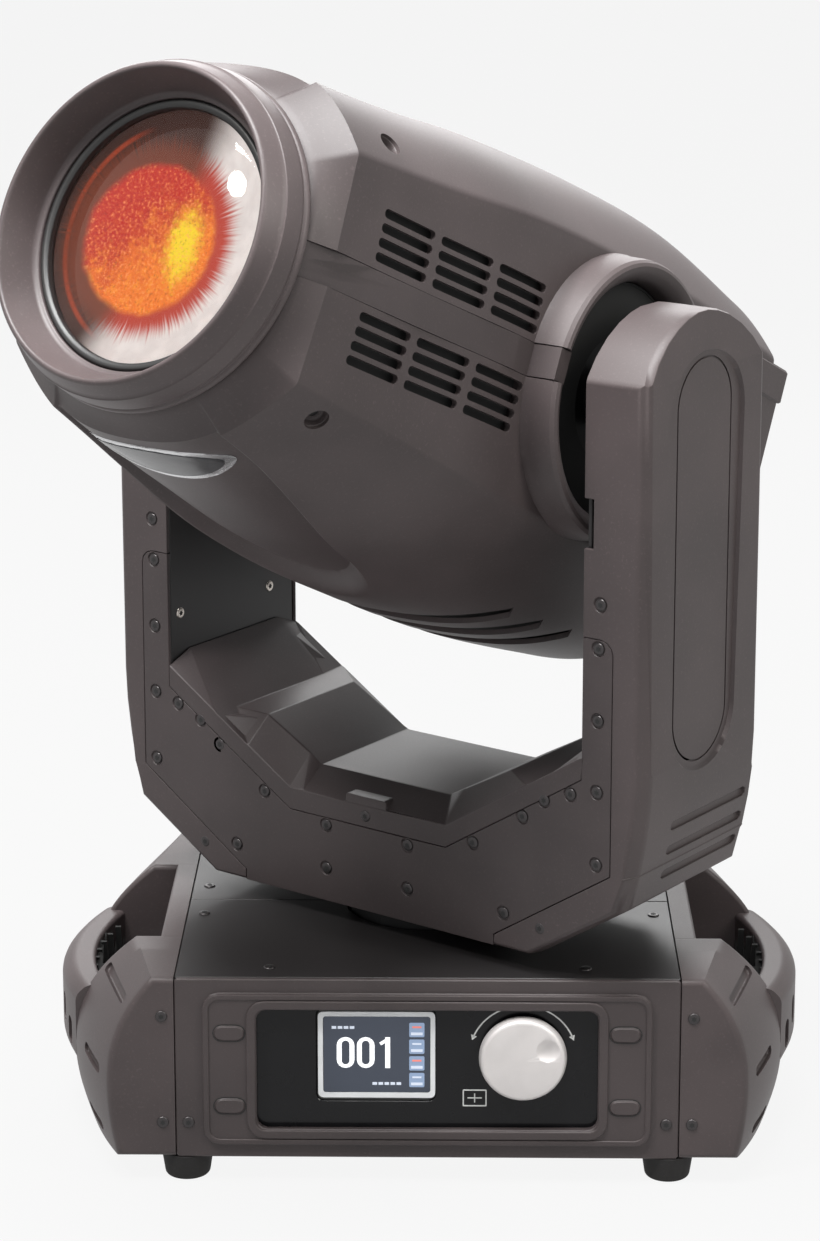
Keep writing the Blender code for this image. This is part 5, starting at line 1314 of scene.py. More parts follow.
def add_display():
    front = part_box("lcd_module")[0].y
    raised = front - 0.00035
    on_keys = raised - PRINT
    frame_plate = plate_on_screen(-0.0618, 0.0045, 0.0351, 0.0870, front - 0.0006, 0.0006, 0.003)
    opening = plate_on_screen(-0.0590, 0.0018, 0.0381, 0.0842, front - 0.002, 0.004, 0.0016)
    finish_piece(carved(frame_plate, cuts=[opening]), "lcd_frame", "base", "lcd_frame", (), 40)
    ground = plate_on_screen(-0.0588, 0.0016, 0.0383, 0.0840, front - PRINT, PRINT, 0.0015)
    finish_piece(ground, "lcd_ground", "base", "screen")
    finish_piece(digits_shape(-0.0512, 0.0530, raised), "lcd_digits", "base", "digit")
    keys = screen_bars(-0.0102, -0.0016, 0.0086, KEY_ROWS, raised, 0.0008)
    finish_piece(merged(keys), "lcd_keys", "base", "key")
    tops = [low + KEY_TOP for low in KEY_ROWS]
    bars = screen_bars(-0.0092, -0.0026, 0.0016, [low + KEY_SIGN for low in KEY_ROWS], on_keys)
    bars += screen_bars(-0.0085, -0.0033, 0.0010, tops[0::2], on_keys)
    bars += screen_dashes(-0.0540, 0.0766, 4, raised) + screen_dashes(-0.0310, 0.0428, 5, raised)
    finish_piece(merged(bars), "lcd_marks", "base", "mark")
    warm = screen_bars(-0.0085, -0.0033, 0.0010, tops[1::2], on_keys)
    finish_piece(merged(warm), "lcd_marks_warm", "base", "mark_warm")


# Arrows round the knob: the strip's two radii, the angles off upright of its ends and the head's radius
ARROW_INNER, ARROW_OUTER = 0.0298, 0.0306
ARROW_START, ARROW_END, ARROW_HEAD = 10, 68, 0.0020


def knob_arrow(side):
    start, end = math.radians(90 - side * ARROW_START), math.radians(90 - side * ARROW_END)
    head = bmesh.new()
    bmesh.ops.create_circle(head, cap_ends=True, segments=3, radius=ARROW_HEAD)
    turn = Matrix.Rotation(end - side * math.pi / 2 - math.pi / 2, 4, "Z")
    middle = (ARROW_INNER + ARROW_OUTER) / 2
    spot = Matrix.Translation((middle * math.cos(end), middle * math.sin(end), 0))
    strip = ring_arc(ARROW_INNER, ARROW_OUTER, start, end)
    return [strip, moved(thickened(head, (0, 0, PRINT)), spot @ turn)]


def add_knob_marks():
    """Two arrows round the knob and a small key sign, printed on the panel."""
    centre = middle_of("jog_knob")
    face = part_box("display_panel")[0].y
    arrows = merged(knob_arrow(-1) + knob_arrow(1))
    moved(arrows, Matrix.Translation((centre.x, face, centre.z)) @ FACE_FORWARD)
    front = face - PRINT
    box = plate_on_screen(0.0201, 0.0337, 0.0302, 0.0404, front, PRINT, 0.0006)
    hole = plate_on_screen(0.0208, 0.0330, 0.0309, 0.0397, face - 0.001, 0.002, 0.0004)
    cross = [plate_on_screen(0.0228, 0.0310, 0.0350, 0.0356, front)]
    cross.append(plate_on_screen(0.0266, 0.0272, 0.0325, 0.0380, front))
    marks = merged([arrows, carved(box, cuts=[hole])] + cross)
    finish_piece(marks, "panel_marks", "base", "white_print")


# Base and arm details


def rounded_frame(width, height, radius, wide, front, thick, soft):
    """A raised rounded bead that faces forward, centred on the front panel."""
    middle = middle_of("base_front_panel").z
    outer = (-width / 2, width / 2, middle - height / 2, middle + height / 2)
    inner = (outer[0] + wide, outer[1] - wide, outer[2] + wide, outer[3] - wide)
    ring = plate_on_screen(*outer, front, thick, radius)
    hole = plate_on_screen(*inner, front - thick, 4 * thick, max(radius - wide, 0.001))
    return rounded_edges(whole_faces(carved(ring, cuts=[hole])), soft, 3, 60)


# The front panel's face, and its four pads: places, half width, half height and the width of the painted shade for
# the gap round them
PANEL_FACE = -0.1282
PAD_PLACES = [(side * 0.11175, 0.05375 + level * 0.022) for side in (-1, 1) for level in (-1, 1)]
PAD_REACH, PAD_HALF, PAD_GAP = 0.0094, 0.0052, 0.0008


def pad_plate(across, height, inset, front, thick):
    """A plate of a pad's outline, drawn in by an inset."""
    wide, tall = PAD_REACH - inset, PAD_HALF - inset
    sides = (across - wide, across + wide, height - tall, height + tall)
    return plate_on_screen(*sides, front, thick, tall - 0.0001)


def add_panel_trim():
    """Beads round the front panel's frame and window, and thin near-black rings round its four pads, painted shade
    for the gap round each.
    """
    beads = [rounded_frame(0.2532, 0.0907, 0.0092, 0.0034, PANEL_FACE - 0.0009, 0.0019, 0.0008)]
    beads.append(rounded_frame(0.2044, 0.0834, 0.0105, 0.0054, PANEL_FACE - 0.0013, 0.0023, 0.0011))
    finish_piece(merged(beads), "panel_beads", "base", "sheet", (), 50, True)
    gap_shades = []
    for across, height in PAD_PLACES:
        ring = pad_plate(across, height, 0.0, PANEL_FACE - PRINT, 2 * PRINT)
        hole = pad_plate(across, height, PAD_GAP, PANEL_FACE - 0.001, 0.002)
        gap_shades.append(carved(ring, cuts=[hole]))
    finish_piece(merged(gap_shades), "pad_gap_shades", "base", "recess")


# Screws of the base: how far they stand out, then their places across and their heights or depths
SCREW_PROUD = 0.0002
CORNER_ACROSS, LOBE_ACROSS, LOW_SCREW, HIGH_SCREW = 0.1354, 0.150, 0.021, 0.085
LID_SCREWS = ((0.1326, 0.023), (0.0896, 0.1084))


def add_base_screws():
    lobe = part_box("side_cover_left")[0].y
    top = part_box("base_top_front")[1].z
    ends = [Vector((side * CORNER_ACROSS, -BASE_END, LOW_SCREW)) for side in (-1, 1)]
    for side in (-1, 1):
        ends += [Vector((side * LOBE_ACROSS, lobe, height)) for height in (LOW_SCREW, HIGH_SCREW)]
    proud = Matrix.Translation((0, 0, SCREW_PROUD))
    places = on_face(BASE, FACE_FORWARD @ proud, ends)
    places += on_face(BASE, FACE_BACK @ proud, [Vector((spot.x, -spot.y, spot.z)) for spot in ends])
    for across, deep in LID_SCREWS:
        lids = [Vector((side * across, end * deep, top)) for side in (-1, 1) for end in (-1, 1)]
        places += on_face(BASE, proud, lids)
    finish_piece(screws_at(places), "base_screws", "base", SCREW_LOOK)


def pins_at(places, radius, long):
    """Round contacts with domed ends that stand backwards out of a socket."""
    profile = [(0, 0), (radius, 0), (radius, long - radius), (radius * 0.6, long - 0.3 * radius), (0, long)]
    return merged([moved(spun(profile, 16), Matrix.Translation(place) @ FACE_BACK) for place in places])


# Data sockets: how deep their inserts lie, the insert's outline, the circle and angles of the contacts, and
# where the flange's screws are. Mains inlet: places of its blades and of its screws. Scale of those screws
INSERT_DEEP = 0.0085
INSERT = ((0, 0), (0.0090, 0), (0.0090, 0.004), (0, 0.0042))
PIN_CIRCLE, PIN_ANGLES, FLANGE = 0.0052, (-60, 60, 180), 0.0108
BLADES = ((-0.009, -0.003), (0.009, -0.003), (0.0, 0.004))
INLET_FLANGE = 0.0255
SMALL_SCREW = 0.62


def add_sockets():
    """Contacts, inserts, the fuse cap's slot as a thin near-black plate of painted shade, and the flange screws of
    the rear sockets.
    """
    inserts, contacts, fasteners = [], [], []
    for node in ("dmx_in_socket", "dmx_out_socket"):
        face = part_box(node)[1].y
        x, _, z = middle_of(node)
        deep = face - INSERT_DEEP
        inserts.append(moved(spun(INSERT, 32), Matrix.Translation((x, deep - 0.004, z)) @ FACE_BACK))
        spots = []
        for angle in PIN_ANGLES:
            turn = math.radians(angle)
            spots.append((x + PIN_CIRCLE * math.sin(turn), deep - 0.0005, z + PIN_CIRCLE * math.cos(turn)))
        contacts.append(pins_at(spots, 0.0013, 0.0065))
        fasteners += [(x + end * FLANGE, face, z + end * FLANGE) for end in (-1, 1)]
    low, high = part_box("power_inlet")
    x, _, z = middle_of("power_inlet")
    for across, height in BLADES:
        blade = rounded_edges(block(0.0022, 0.0125, 0.0062), 0.0006, 2, 60)
        bmesh.ops.translate(blade, vec=(x + across, low.y + 0.0085, z + height), verts=blade.verts)
        contacts.append(blade)
    fasteners += [(x + end * INLET_FLANGE, high.y, z) for end in (-1, 1)]
    x, _, z = middle_of("fuse_holder")
    # A thin near-black plate: painted shade for the fuse cap's slot
    slot = block(0.0125, 0.0004, 0.0022, centre=(x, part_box("fuse_holder")[1].y + 0.0001, z))
    finish_piece(merged(inserts + [slot]), "socket_inserts", "base", "recess")
    finish_piece(merged(contacts), "socket_contacts", "base", "brass")
    small = Matrix.Scale(SMALL_SCREW, 4)
    screws = screws_at(on_face(BASE, FACE_BACK @ small, fasteners))
    finish_piece(screws, "socket_screws", "base", NICKEL_LOOK)


# An arm's outer face: how far out it is, the radii and levels of its dished channel's two ends, the radius,
# levels and seam of its inset panel, and its flutes
ARM_FACE = 0.188
DISH = (0.0375, 0.0330, 0.427, 0.262)
INSET_RADIUS, INSET_LEVELS, INSET_SEAM = 0.0280, (0.434, 0.260), 0.0012
FLUTES, FLUTE_RADIUS, FLUTE_LONG, FLUTE_PLACE = 3, 0.0042, 0.076, 0.0137
FLUTE_TOP, FLUTE_PITCH = 0.1997, 0.0149


def upright_obround(radius_top, radius_low, level_top, level_low):
    """A flat upright obround in the YZ plane whose two ends may differ."""
    shape = bmesh.new()
    bmesh.ops.create_circle(shape, cap_ends=True, segments=72, radius=1.0)
    for point in shape.verts:
        radius, middle = (radius_top, level_top) if point.co.y >= 0 else (radius_low, level_low)
        point.co = (0, radius * point.co.x, middle + radius * point.co.y)
    return shape


def deepened(shape, near, far, widen=0.0):
    """A flat YZ outline made a prism from near to far along X; its far end is widened by a distance."""
    lifted = drawn_out(shape)
    middle = sum(point.co.z for point in lifted) / len(lifted)
    for point in shape.verts:
        point.co.x = near
    for point in lifted:
        away = Vector((0, point.co.y, point.co.z - middle))
        point.co.x = far
        point.co += away.normalized() * widen
    return face_out(shape)


def arm_cutters(side):
    """Cutters for an arm's dished channel, the seam of its inset panel and its flutes."""
    depth = sizes().dish
    floor = ARM_FACE - depth
    dish = deepened(upright_obround(*DISH), floor, ARM_FACE + depth, 2 * depth)
    wide, narrow = INSET_RADIUS, INSET_RADIUS - INSET_SEAM
    outer = deepened(upright_obround(wide, wide, *INSET_LEVELS), floor - 0.0009, ARM_FACE)
    inner = deepened(upright_obround(narrow, narrow, *INSET_LEVELS), floor - 0.005, ARM_FACE + 0.005)
    cutters = [dish, carved(outer, cuts=[inner])]
    for number in range(FLUTES):
        flute = cone(FLUTE_RADIUS, FLUTE_RADIUS, FLUTE_LONG, 24)
        rounded_edges(flute, FLUTE_RADIUS - 0.0001, 4, 60)
        level = FLUTE_TOP - FLUTE_PITCH * number
        out = ARM_FACE + 0.0012 - 0.22 * max(0.0, 0.199 - level)
        cutters.append(moved(flute, Matrix.Translation((out, FLUTE_PLACE, level)) @ FACE_FORWARD))
    for cutter in cutters:
        if side < 0:
            bmesh.ops.scale(cutter, vec=(-1, 1, 1), verts=cutter.verts)
        moved(face_out(cutter), YOKE)
    return cutters


# Pockets of a side cover's front left lobe: both ends on its skin, the way out, width and depth
POCKETS = (
    ((-0.1852, -0.0680, 0.0912), (-0.1722, -0.1135, 0.0905), (-0.76, -0.22, 0.61), 0.0062, 0.0024),
    ((-0.1962, -0.0913, 0.0508), (-0.1880, -0.1110, 0.0478), (-0.92, -0.39, 0.10), 0.0070, 0.0026),
    ((-0.1935, -0.0850, 0.0120), (-0.1862, -0.1040, 0.0100), (-0.90, -0.35, -0.27), 0.0070, 0.0026),
)
GRIP_HOLE = ((-0.2066, -0.0612, 0.0590), (-0.2066, -0.0612, 0.0470), (-0.94, -0.35, 0.0), 0.0085, 0.0080)


def pocket(start, end, out, width, depth):
    """A cutter with round ends, sunk into a skin."""
    start, end, out = Vector(start), Vector(end), Vector(out).normalized()
    along = (end - start).normalized()
    out = (out - along * out.dot(along)).normalized()
    beside = out.cross(along)
    cutter = block((end - start).length + width, width, 2 * depth, width * 0.49, 5)
    low = [edge for edge in cutter.edges if all(point.co.z < 0 for point in edge.verts)]
    rounded_edges(cutter, depth * 0.5, 3, edges=low)
    turn = Matrix((along, beside, out)).transposed().to_4x4()
    return moved(cutter, Matrix.Translation((start + end) / 2) @ turn)


# Side covers: half of the base's depth, where the finger gap ends, the base's height, where the covers start,
# how far they reach and by how much less at their ends, the height of their widest place, the rail's width and
# the carrying bar's lower and upper end and thickness
BASE_END = 0.1266
GAP_END = 0.058
BASE_TOP = 0.1075
COVER_START = 0.143
COVER_REACH, COVER_DROP, COVER_WAIST = 0.0705, 0.033, 0.043
RAIL = 0.0125
BAR_BOTTOM, BAR_TOP, BAR_THICK = 0.016, 0.0785, 0.020


def cover_reach(place):
    """How far a side cover bulges past the base's side at a place along the base."""
    radius = (BASE_END**2 + COVER_DROP**2) / (2 * COVER_DROP)
    return COVER_REACH - radius + math.sqrt(radius**2 - place**2)


def cover_section(place, steps=26):
    """A side cover's outline as (distance from the base, height) points."""
    reach = cover_reach(place)
    share = min(1.0, (BASE_END - abs(place)) / (BASE_END - GAP_END))
    top = 0.0121 + 0.0148 * share
    points = [(0, BASE_TOP), (0, 0)]
    for step in range(steps + 1):
        height = BASE_TOP * step / steps
        if height < COVER_WAIST:
            out = reach * (1 - 0.14 * (1 - height / COVER_WAIST) ** 2)
        else:
            out = reach - (reach - top) * ((height - COVER_WAIST) / (BASE_TOP - COVER_WAIST)) ** 2.3
        points.append((out, height))
    return points


def bar_section(place):
    """The carrying bar's outline."""
    out = cover_reach(place) + 0.0055 * (1 - (place / (GAP_END + RAIL / 2)) ** 2)
    back, slope = out - BAR_THICK, BAR_THICK / 3
    points = [(back, BAR_TOP), (back, BAR_BOTTOM), (out - BAR_THICK / 2, BAR_BOTTOM)]
    return points + [(out, BAR_BOTTOM + BAR_THICK), (out, BAR_TOP - slope), (out - slope, BAR_TOP)]


def lofted(section, places, side):
    """A closed tube through the sections at several places, with its ends filled."""
    count = len(section(places[0]))
    shape = bmesh.new()
    bmesh.ops.create_grid(shape, x_segments=count, y_segments=len(places) - 1, size=1.0)
    for point in shape.verts:
        around = round((point.co.x + 1) / 2 * count) % count
        place = places[round((point.co.y + 1) / 2 * (len(places) - 1))]
        out, height = section(place)[around]
        point.co = (side * (COVER_START + out), place, height)
    bmesh.ops.remove_doubles(shape, verts=shape.verts, dist=1e-6)
    bmesh.ops.holes_fill(shape, edges=[edge for edge in shape.edges if edge.is_boundary], sides=0)
    return face_out(shape)


def spread(start, end, steps):
    return [start + (end - start) * step / steps for step in range(steps + 1)]


def end_edges(shape):
    """The edges round a loft's two ends, apart from those at the base's side."""
    chosen = []
    for edge in sharp_edges(shape, 30):
        ends = any(abs(face.normal.y) > 0.98 for face in edge.link_faces)
        if ends and max(abs(point.co.x) for point in edge.verts) > COVER_START + 0.001:
            chosen.append(edge)
    return chosen


def side_lobe(side, end):
    """The solid part of a side cover before or behind the finger gap, with its pockets."""
    lobe = lofted(cover_section, spread(end * GAP_END, end * BASE_END, 14), side)
    rounded_edges(lobe, 0.0030, 4, edges=end_edges(lobe))
    cutters = []
    for spec in POCKETS + (GRIP_HOLE,):
        cutter = pocket(*spec)
        bmesh.ops.scale(cutter, vec=(-side, -end, 1), verts=cutter.verts)
        cutters.append(face_out(cutter))
    return carved(lobe, cuts=[merged(cutters)])


# Slots in a carrying bar: place along it, lean and height
BAR_SLOTS = ((0.034, 0.22, 0.0535), (0.0515, 0.33, 0.0455))


def carrying_bar(side):
    reach = GAP_END + RAIL / 2
    bar = lofted(bar_section, spread(-reach, reach, 22), side)
    along = [edge for edge in sharp_edges(bar, 25) if abs(edge.verts[0].co.y - edge.verts[1].co.y) > 0.003]
    rounded_edges(bar, 0.0030, 3, edges=along)
    slots = []
    for place, lean, height in BAR_SLOTS:
        for end in (-1, 1):
            slot = block(0.0175, 0.0085, 0.014, 0.0042, 6)
            out = COVER_START + bar_section(place)[3][0]
            turn = Matrix.Rotation(side * end * lean, 4, "Z") @ FACE_RIGHT
            slots.append(moved(slot, Matrix.Translation((side * out, end * place, height)) @ turn))
    return carved(bar, cuts=[merged(slots)])


def rail(side):
    """The straight rail beside the base's top plates."""
    lift = 0.0005
    shape = block(RAIL, 2 * (GAP_END + 0.0026), BASE_TOP - lift)
    centre = (side * (COVER_START + RAIL / 2), 0, (BASE_TOP + lift) / 2)
    bmesh.ops.translate(shape, vec=centre, verts=shape.verts)
    top = [edge for edge in shape.edges if all(point.co.z > 0.1 for point in edge.verts)]
    outer = [edge for edge in top if all(abs(point.co.x) > COVER_START + 0.001 for point in edge.verts)]
    return rounded_edges(shape, 0.0016, 3, edges=outer)


# Crossed ribs on the inner side of a carrying bar: how many each side of the middle, pitch, lean and height
RIBS_BESIDE, RIB_PITCH, RIB_LEAN, RIB_HEIGHT = 4, 0.0125, 0.42, 0.046


def bar_ribs(side):
    ribs = []
    for number in range(-RIBS_BESIDE, RIBS_BESIDE + 1):
        place = number * RIB_PITCH
        back = COVER_START + bar_section(place)[0][0]
        for lean in (-RIB_LEAN, RIB_LEAN):
            rib = block(0.0034, 0.0012, 0.066)
            centre = (side * (back - 0.0008), place, RIB_HEIGHT)
            ribs.append(moved(rib, Matrix.Translation(centre) @ Matrix.Rotation(lean, 4, "X")))
    return merged(ribs)


def add_side_covers():
    for node, side in (("side_cover_left", -1), ("side_cover_right", 1)):
        shapes = [side_lobe(side, -1), side_lobe(side, 1), carrying_bar(side), rail(side)]
        finish_piece(merged(shapes), node + "_skin", "base", "shell", [node], 40, True)
        finish_piece(bar_ribs(side), node + "_ribs", "base", "inside")


# Screws on an arm's inner face: how far across, then depth and height of each
INNER_ACROSS = 0.1490
INNER_SPOTS = ((-0.0497, 0.272), (0.0356, 0.270))


def add_arms():
    across, height = ARM_SPOT
    for node, side in (("arm_cover_left", -1), ("arm_cover_right", 1)):
        places = []
        for end, turn in ((-1, FACE_FORWARD), (1, FACE_BACK)):
            places += on_face(YOKE, turn, [(side * across, end * YOKE_FACE, height)])
        cover = soft_body(whole_faces(copied(node)), 0.0022, 0.0004)
        cover = carved(cover, cuts=arm_cutters(side) + [seats_at(places)])
        finish_piece(cover, node + "_skin", "yoke", "shell", [node], 50, True)
        finish_piece(screws_at(sunk(places)), node + "_screws", "yoke", SCREW_LOOK)
        turn = FACE_RIGHT if side < 0 else FACE_LEFT
        inside = on_face(YOKE, turn, [(side * INNER_ACROSS, *spot) for spot in INNER_SPOTS])
        finish_piece(screws_at(inside), node + "_inner_screws", "yoke", NICKEL_LOOK)


FLOOR_TAB = (-0.0007, -YOKE_FACE, 0.1775)


def add_yoke_plates():
    """The front and rear plates with their sunk screws, and the screw of the floor cover's tab."""
    for node, side, turn in (("yoke_front_plate", -1, FACE_FORWARD), ("yoke_rear_plate", 1, FACE_BACK)):
        places = on_face(YOKE, turn, plate_spots(side, PLATE_SPOTS))
        plate = carved(copied(node), cuts=[seats_at(places)])
        rounded_edges(whole_faces(plate), 0.0004, 1, 65)
        finish_piece(plate, node + "_skin", "yoke", "sheet", [node], 50, True)
        finish_piece(screws_at(sunk(places)), node + "_screws", "yoke", SCREW_LOOK)
    tab = screws_at(on_face(YOKE, FACE_FORWARD, [FLOOR_TAB]))
    finish_piece(tab, "floor_tab_screw", "yoke", SCREW_LOOK)


# Stage


def aim(obj, target):
    obj.rotation_euler = (Vector(target) - obj.location).to_track_quat("-Z", "Y").to_euler()


# Lamps: name, place, height of the aim, width, height, power, shape and tint
LAMPS = (
    ("top", (-0.25, -0.42, 2.50), 0.35, 1.2, 0.9, 130, "RECTANGLE", (1, 1, 1)),
    ("key", (-1.30, -1.05, 2.45), 0.40, 0.40, 0.40, 46, "ELLIPSE", (1.0, 0.98, 0.96)),
    ("front", (0.4, -2.4, 1.3), 0.20, 1.6, 0.8, 3, "RECTANGLE", (1, 1, 1)),
    ("right", (1.7, -1.1, 1.7), 0.35, 0.5, 1.2, 22, "RECTANGLE", (1.0, 0.99, 0.92)),
    ("rear", (-0.1, 1.9, 1.2), 0.25, 1.8, 0.8, 22, "RECTANGLE", (1, 1, 1)),
)


def add_lamp(name, place, aim_height, width, height, power, shape, tint):
    light = bpy.data.lights.new(name, "AREA")
    light.shape = shape
    light.size, light.size_y = width, height
    light.energy = power
    light.color = tint
    lamp = bpy.data.objects.new(name, light)
    lamp.location = place
    bpy.context.scene.collection.objects.link(lamp)
    aim(lamp, (0, 0, aim_height))


# Share of the ground's colour that the background and the floor show, the soft light from all round, and the
# floor's radius, its distance below the feet and the tone that it lends to the light
SEEN_SHARE = 0.95
AMBIENT_TINT, AMBIENT_STRENGTH = (1.0, 0.99, 0.98), 0.20
FLOOR_RADIUS, FLOOR_DROP, FLOOR_TONE = 14.0, 0.0002, (0.36, 0.36, 0.36)


def add_world(ground):
    world = bpy.data.worlds.new("studio")
    world.use_nodes = True
    nodes = Nodes(world.node_tree)
    ambient = nodes.tree.nodes["Background"]
    nodes.feed(ambient.inputs["Color"], AMBIENT_TINT)
    nodes.feed(ambient.inputs["Strength"], AMBIENT_STRENGTH)
    seen = nodes.node("ShaderNodeBackground", None, {"Color": shaded(ground, SEEN_SHARE)})
    nodes.show(Value(nodes, ambient.outputs[0]), seen, nodes.seen_rays(), "World Output")
    bpy.context.scene.world = world


def add_floor(ground):
    shape = bmesh.new()
    bmesh.ops.create_circle(shape, cap_ends=True, segments=96, radius=FLOOR_RADIUS)
    bmesh.ops.translate(shape, vec=(0, 0, FLOOR_HEIGHT - FLOOR_DROP), verts=shape.verts)
    floor = as_object(shape, "floor")
    finish = Finish("pale_floor")
    finish.set("Base Color", FLOOR_TONE)
    finish.set("Roughness", 0.9)
    glow = finish.node("ShaderNodeEmission", None, {"Color": ground})
    lit = Value(finish, finish.surface.outputs[0])
    finish.show(lit, glow, finish.seen_rays() * SEEN_SHARE, "Material Output")
    floor.data.materials.append(finish.material)


# The camera's place, and how far it looks down and turns, in degrees
CAMERA_PLACE = (0.0136, -1.9319, 0.8313)
CAMERA_FALL, CAMERA_TURN = 12.99, 0.74


def add_camera(settings):
    data = bpy.data.cameras.new("camera")
    data.sensor_fit = "VERTICAL"
    data.sensor_height = 24.0
    data.lens = settings.lens
    data.shift_y = settings.rise
    data.clip_end = 60.0
    camera = bpy.data.objects.new("camera", data)
    camera.location = CAMERA_PLACE
    camera.rotation_euler = (math.radians(90 - CAMERA_FALL), 0, math.radians(CAMERA_TURN))
    bpy.context.scene.collection.objects.link(camera)
    bpy.context.scene.camera = camera


# Operators


FINISH_OF_SLOT = {
    "charcoal_shell": "shell",
    "charcoal_sheet": "sheet",
    "black_paint": "satin",
    "black_metal": "dark_metal",
    "bare_metal": "steel",
    "aluminium_part": "aluminium",
    "silver_knob": "knob",
    "gloss_black": "gloss",
    "screen": "black_plastic",
    "black_plastic": "black_plastic",
    "rubber_black": "rubber",
    "lens_glass": "lamp_glass",
    "lamp_glass": "lamp_glass",
    "reflector_mirror": "mirror",
    "filter_wheel": "filter",
}


class LIGHT_OT_finishes(bpy.types.Operator):
    """Make the light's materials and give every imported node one"""

    bl_idname = "light.finishes"
    bl_label = "Finishes"

    def execute(self, context):
        FINISH.update(make_finishes())
        for node, piece in frame["nodes"].items():
            piece.data.materials.clear()
            piece.data.materials.append(FINISH[FINISH_OF_SLOT[SLOT_OF[node]]])
        for node in ("tilt_shaft_left", "tilt_shaft_right"):
            frame["nodes"][node].data.materials[0] = FINISH["dark_metal"]
        return {"FINISHED"}


# Nodes whose edges are rounded: finish, and radius of the main and of the other edges
SOFT_NODES = (
    ("base_front_panel", "sheet", 0.0018, 0.0006),
    ("base_rear_panel", "sheet", 0.0018, 0.0006),
    ("base_top_front", "satin", 0.0008, 0.0005),
    ("base_top_rear", "satin", 0.0008, 0.0005),
    ("yoke_floor_cover", "sheet", 0.0008, 0.0004),
    ("yoke_base_plate", "dark_metal", 0.0005, 0.0003),
    ("arm_plate_left", "satin", 0.0006, 0.0004),
    ("arm_plate_right", "satin", 0.0006, 0.0004),
    ("pan_shaft", "dark_metal", 0.0006, 0.0004),
    ("display_panel", "gloss", 0.0005, 0.0004),
    ("lcd_module", "black_plastic", 0.0004, 0.0003),
    ("head_rear_cover", "shell", 0.0022, 0.0008),
)


class LIGHT_OT_soft_nodes(bpy.types.Operator):
    """Round the edges of the plates and covers"""

    bl_idname = "light.soft_nodes"
    bl_label = "Plates and covers"

    def execute(self, context):
        for node, look, big, small in SOFT_NODES:
            shape = soft_body(whole_faces(copied(node)), big, small)
            finish_piece(shape, node + "_skin", BODY_OF[node], look, [node], 32, True)
        return {"FINISHED"}


class LIGHT_OT_yoke_plates(bpy.types.Operator):
    """Add the yoke's front and rear plates with their sunk screws"""

    bl_idname = "light.yoke_plates"
    bl_label = "Yoke plates"

    def execute(self, context):
        add_yoke_plates()
        return {"FINISHED"}


class LIGHT_OT_head_covers(bpy.types.Operator):
    """Add the head's two vented covers"""

    bl_idname = "light.head_covers"
    bl_label = "Head covers"

    def execute(self, context):
        add_head_covers()
        return {"FINISHED"}


class LIGHT_OT_vent_shade_sheets(bpy.types.Operator):
    """Add the near-black sheets behind the vents and louvres, painted shade for the head's inside"""

    bl_idname = "light.vent_screens"
    bl_label = "Vent screens"

    def execute(self, context):
        add_vent_shade_sheets()
        return {"FINISHED"}


class LIGHT_OT_head_frame(bpy.types.Operator):
    """Add the frame between the head's covers"""

    bl_idname = "light.head_frame"
    bl_label = "Head frame"

    def execute(self, context):
        add_head_frame()
        return {"FINISHED"}


class LIGHT_OT_pivot_shields(bpy.types.Operator):
    """Add the dark discs inside the pivots' collars"""

    bl_idname = "light.pivot_shields"
    bl_label = "Pivot shields"

    def execute(self, context):
        add_pivot_shields()
        return {"FINISHED"}


class LIGHT_OT_lens_group(bpy.types.Operator):
    """Add the bezel, the lens and what shows through it"""

    bl_idname = "light.lens_group"
    bl_label = "Lens"

    def execute(self, context):
        add_lens_group()
        return {"FINISHED"}


class LIGHT_OT_badge(bpy.types.Operator):
    """Add the bare inlay below the lens"""

    bl_idname = "light.badge"
    bl_label = "Inlay"

    def execute(self, context):
        add_badge()
        return {"FINISHED"}


class LIGHT_OT_arms(bpy.types.Operator):
    """Add the arms' covers with their dished channels"""

    bl_idname = "light.arms"
    bl_label = "Arms"

    def execute(self, context):
        add_arms()
        return {"FINISHED"}


class LIGHT_OT_side_covers(bpy.types.Operator):
    """Add the side covers with their carrying bars"""

    bl_idname = "light.side_covers"
    bl_label = "Side covers"

    def execute(self, context):
        add_side_covers()
        return {"FINISHED"}


class LIGHT_OT_panel_trim(bpy.types.Operator):
    """Add the front panel's beads and pads"""

    bl_idname = "light.panel_trim"
    bl_label = "Panel trim"

    def execute(self, context):
        add_panel_trim()
        return {"FINISHED"}


class LIGHT_OT_feet(bpy.types.Operator):
    """Add the rubber feet"""

    bl_idname = "light.feet"
    bl_label = "Feet"

    def execute(self, context):
        add_feet()
        return {"FINISHED"}


class LIGHT_OT_knob(bpy.types.Operator):
    """Add the jog knob"""

    bl_idname = "light.knob"
    bl_label = "Jog knob"

    def execute(self, context):
        add_knob()
        return {"FINISHED"}


class LIGHT_OT_sockets(bpy.types.Operator):
    """Add the rear sockets' contacts, inserts and screws"""

    bl_idname = "light.sockets"
    bl_label = "Sockets"

    def execute(self, context):
        add_sockets()
        return {"FINISHED"}


class LIGHT_OT_base_screws(bpy.types.Operator):
    """Add the base's screws"""

    bl_idname = "light.base_screws"
    bl_label = "Base screws"

    def execute(self, context):
        add_base_screws()
        return {"FINISHED"}


class LIGHT_OT_display(bpy.types.Operator):
    """Add the lit display"""

    bl_idname = "light.display"
    bl_label = "Display"

    def execute(self, context):
        add_display()
        return {"FINISHED"}


class LIGHT_OT_knob_marks(bpy.types.Operator):
    """Add the printed signs beside the jog knob"""

    bl_idname = "light.knob_marks"
    bl_label = "Panel marks"

    def execute(self, context):
        add_knob_marks()
        return {"FINISHED"}


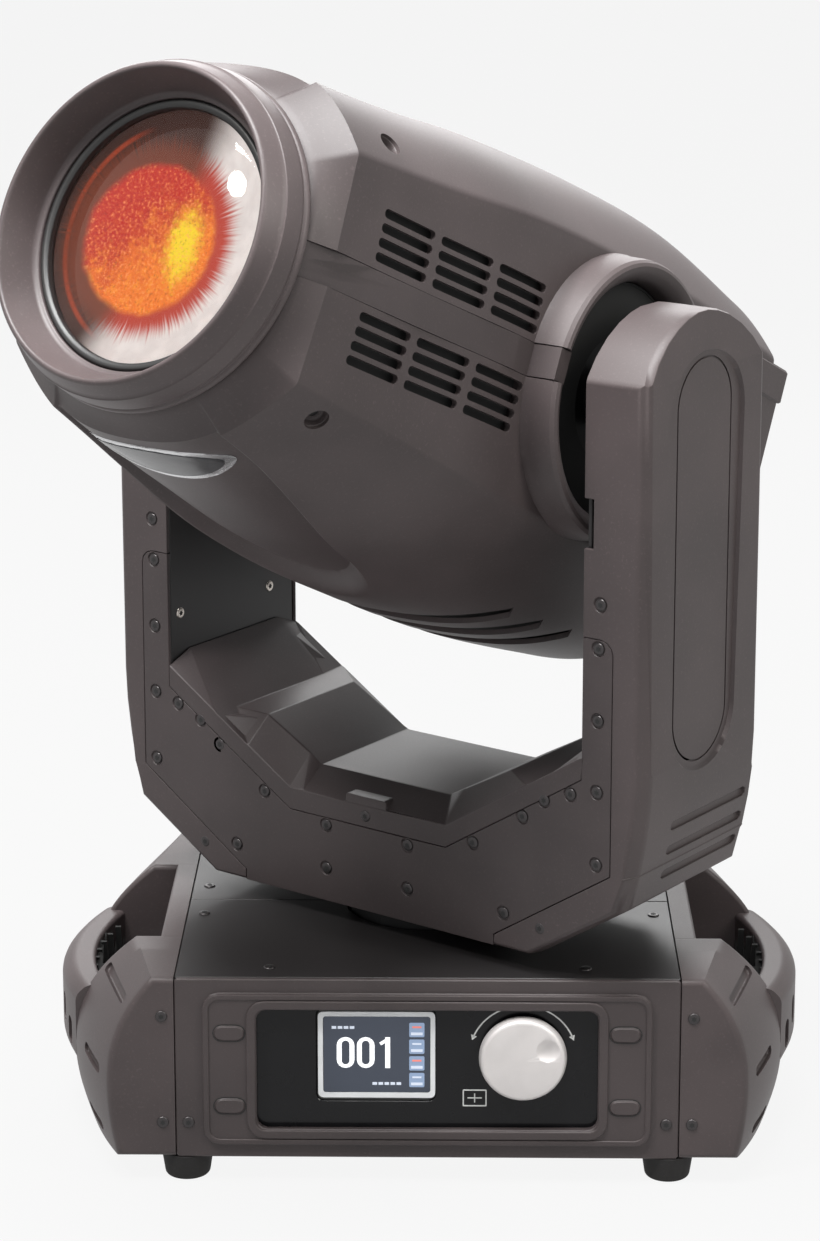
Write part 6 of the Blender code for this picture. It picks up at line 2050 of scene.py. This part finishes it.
class LIGHT_OT_stage(bpy.types.Operator):
    """Add the floor, the lamps and the camera"""

    bl_idname = "light.stage"
    bl_label = "Stage"

    def execute(self, context):
        settings = context.scene.light_stage
        ground = tuple(settings.ground)
        add_world(ground)
        add_floor(ground)
        for lamp in LAMPS:
            add_lamp(*lamp)
        add_camera(settings)
        context.scene.view_settings.view_transform = "Standard"
        return {"FINISHED"}


class LIGHT_PT_panel(bpy.types.Panel):
    """Steps that build the light"""

    bl_idname = "LIGHT_PT_panel"
    bl_label = "Moving head light"
    bl_space_type = "VIEW_3D"
    bl_region_type = "UI"
    bl_category = "Light"

    def draw(self, context):
        for step in STEPS:
            self.layout.operator(step.bl_idname)


STEPS = (
    LIGHT_OT_finishes,
    LIGHT_OT_soft_nodes,
    LIGHT_OT_yoke_plates,
    LIGHT_OT_head_covers,
    LIGHT_OT_vent_shade_sheets,
    LIGHT_OT_head_frame,
    LIGHT_OT_pivot_shields,
    LIGHT_OT_lens_group,
    LIGHT_OT_badge,
    LIGHT_OT_arms,
    LIGHT_OT_side_covers,
    LIGHT_OT_panel_trim,
    LIGHT_OT_feet,
    LIGHT_OT_knob,
    LIGHT_OT_sockets,
    LIGHT_OT_base_screws,
    LIGHT_OT_display,
    LIGHT_OT_knob_marks,
    LIGHT_OT_stage,
)
CLASSES = (LightFinishes, LightSizes, StageSettings) + STEPS + (LIGHT_PT_panel,)


def register():
    for each in CLASSES:
        bpy.utils.register_class(each)
    bpy.types.Scene.light_finishes = PointerProperty(type=LightFinishes)
    bpy.types.Scene.light_sizes = PointerProperty(type=LightSizes)
    bpy.types.Scene.light_stage = PointerProperty(type=StageSettings)


def unregister():
    del bpy.types.Scene.light_stage
    del bpy.types.Scene.light_sizes
    del bpy.types.Scene.light_finishes
    for each in reversed(CLASSES):
        bpy.utils.unregister_class(each)


def main():
    register()
    for step in STEPS:
        group, action = step.bl_idname.split(".")
        getattr(getattr(bpy.ops, group), action)()
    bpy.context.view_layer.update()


if __name__ == "__main__":
    main()
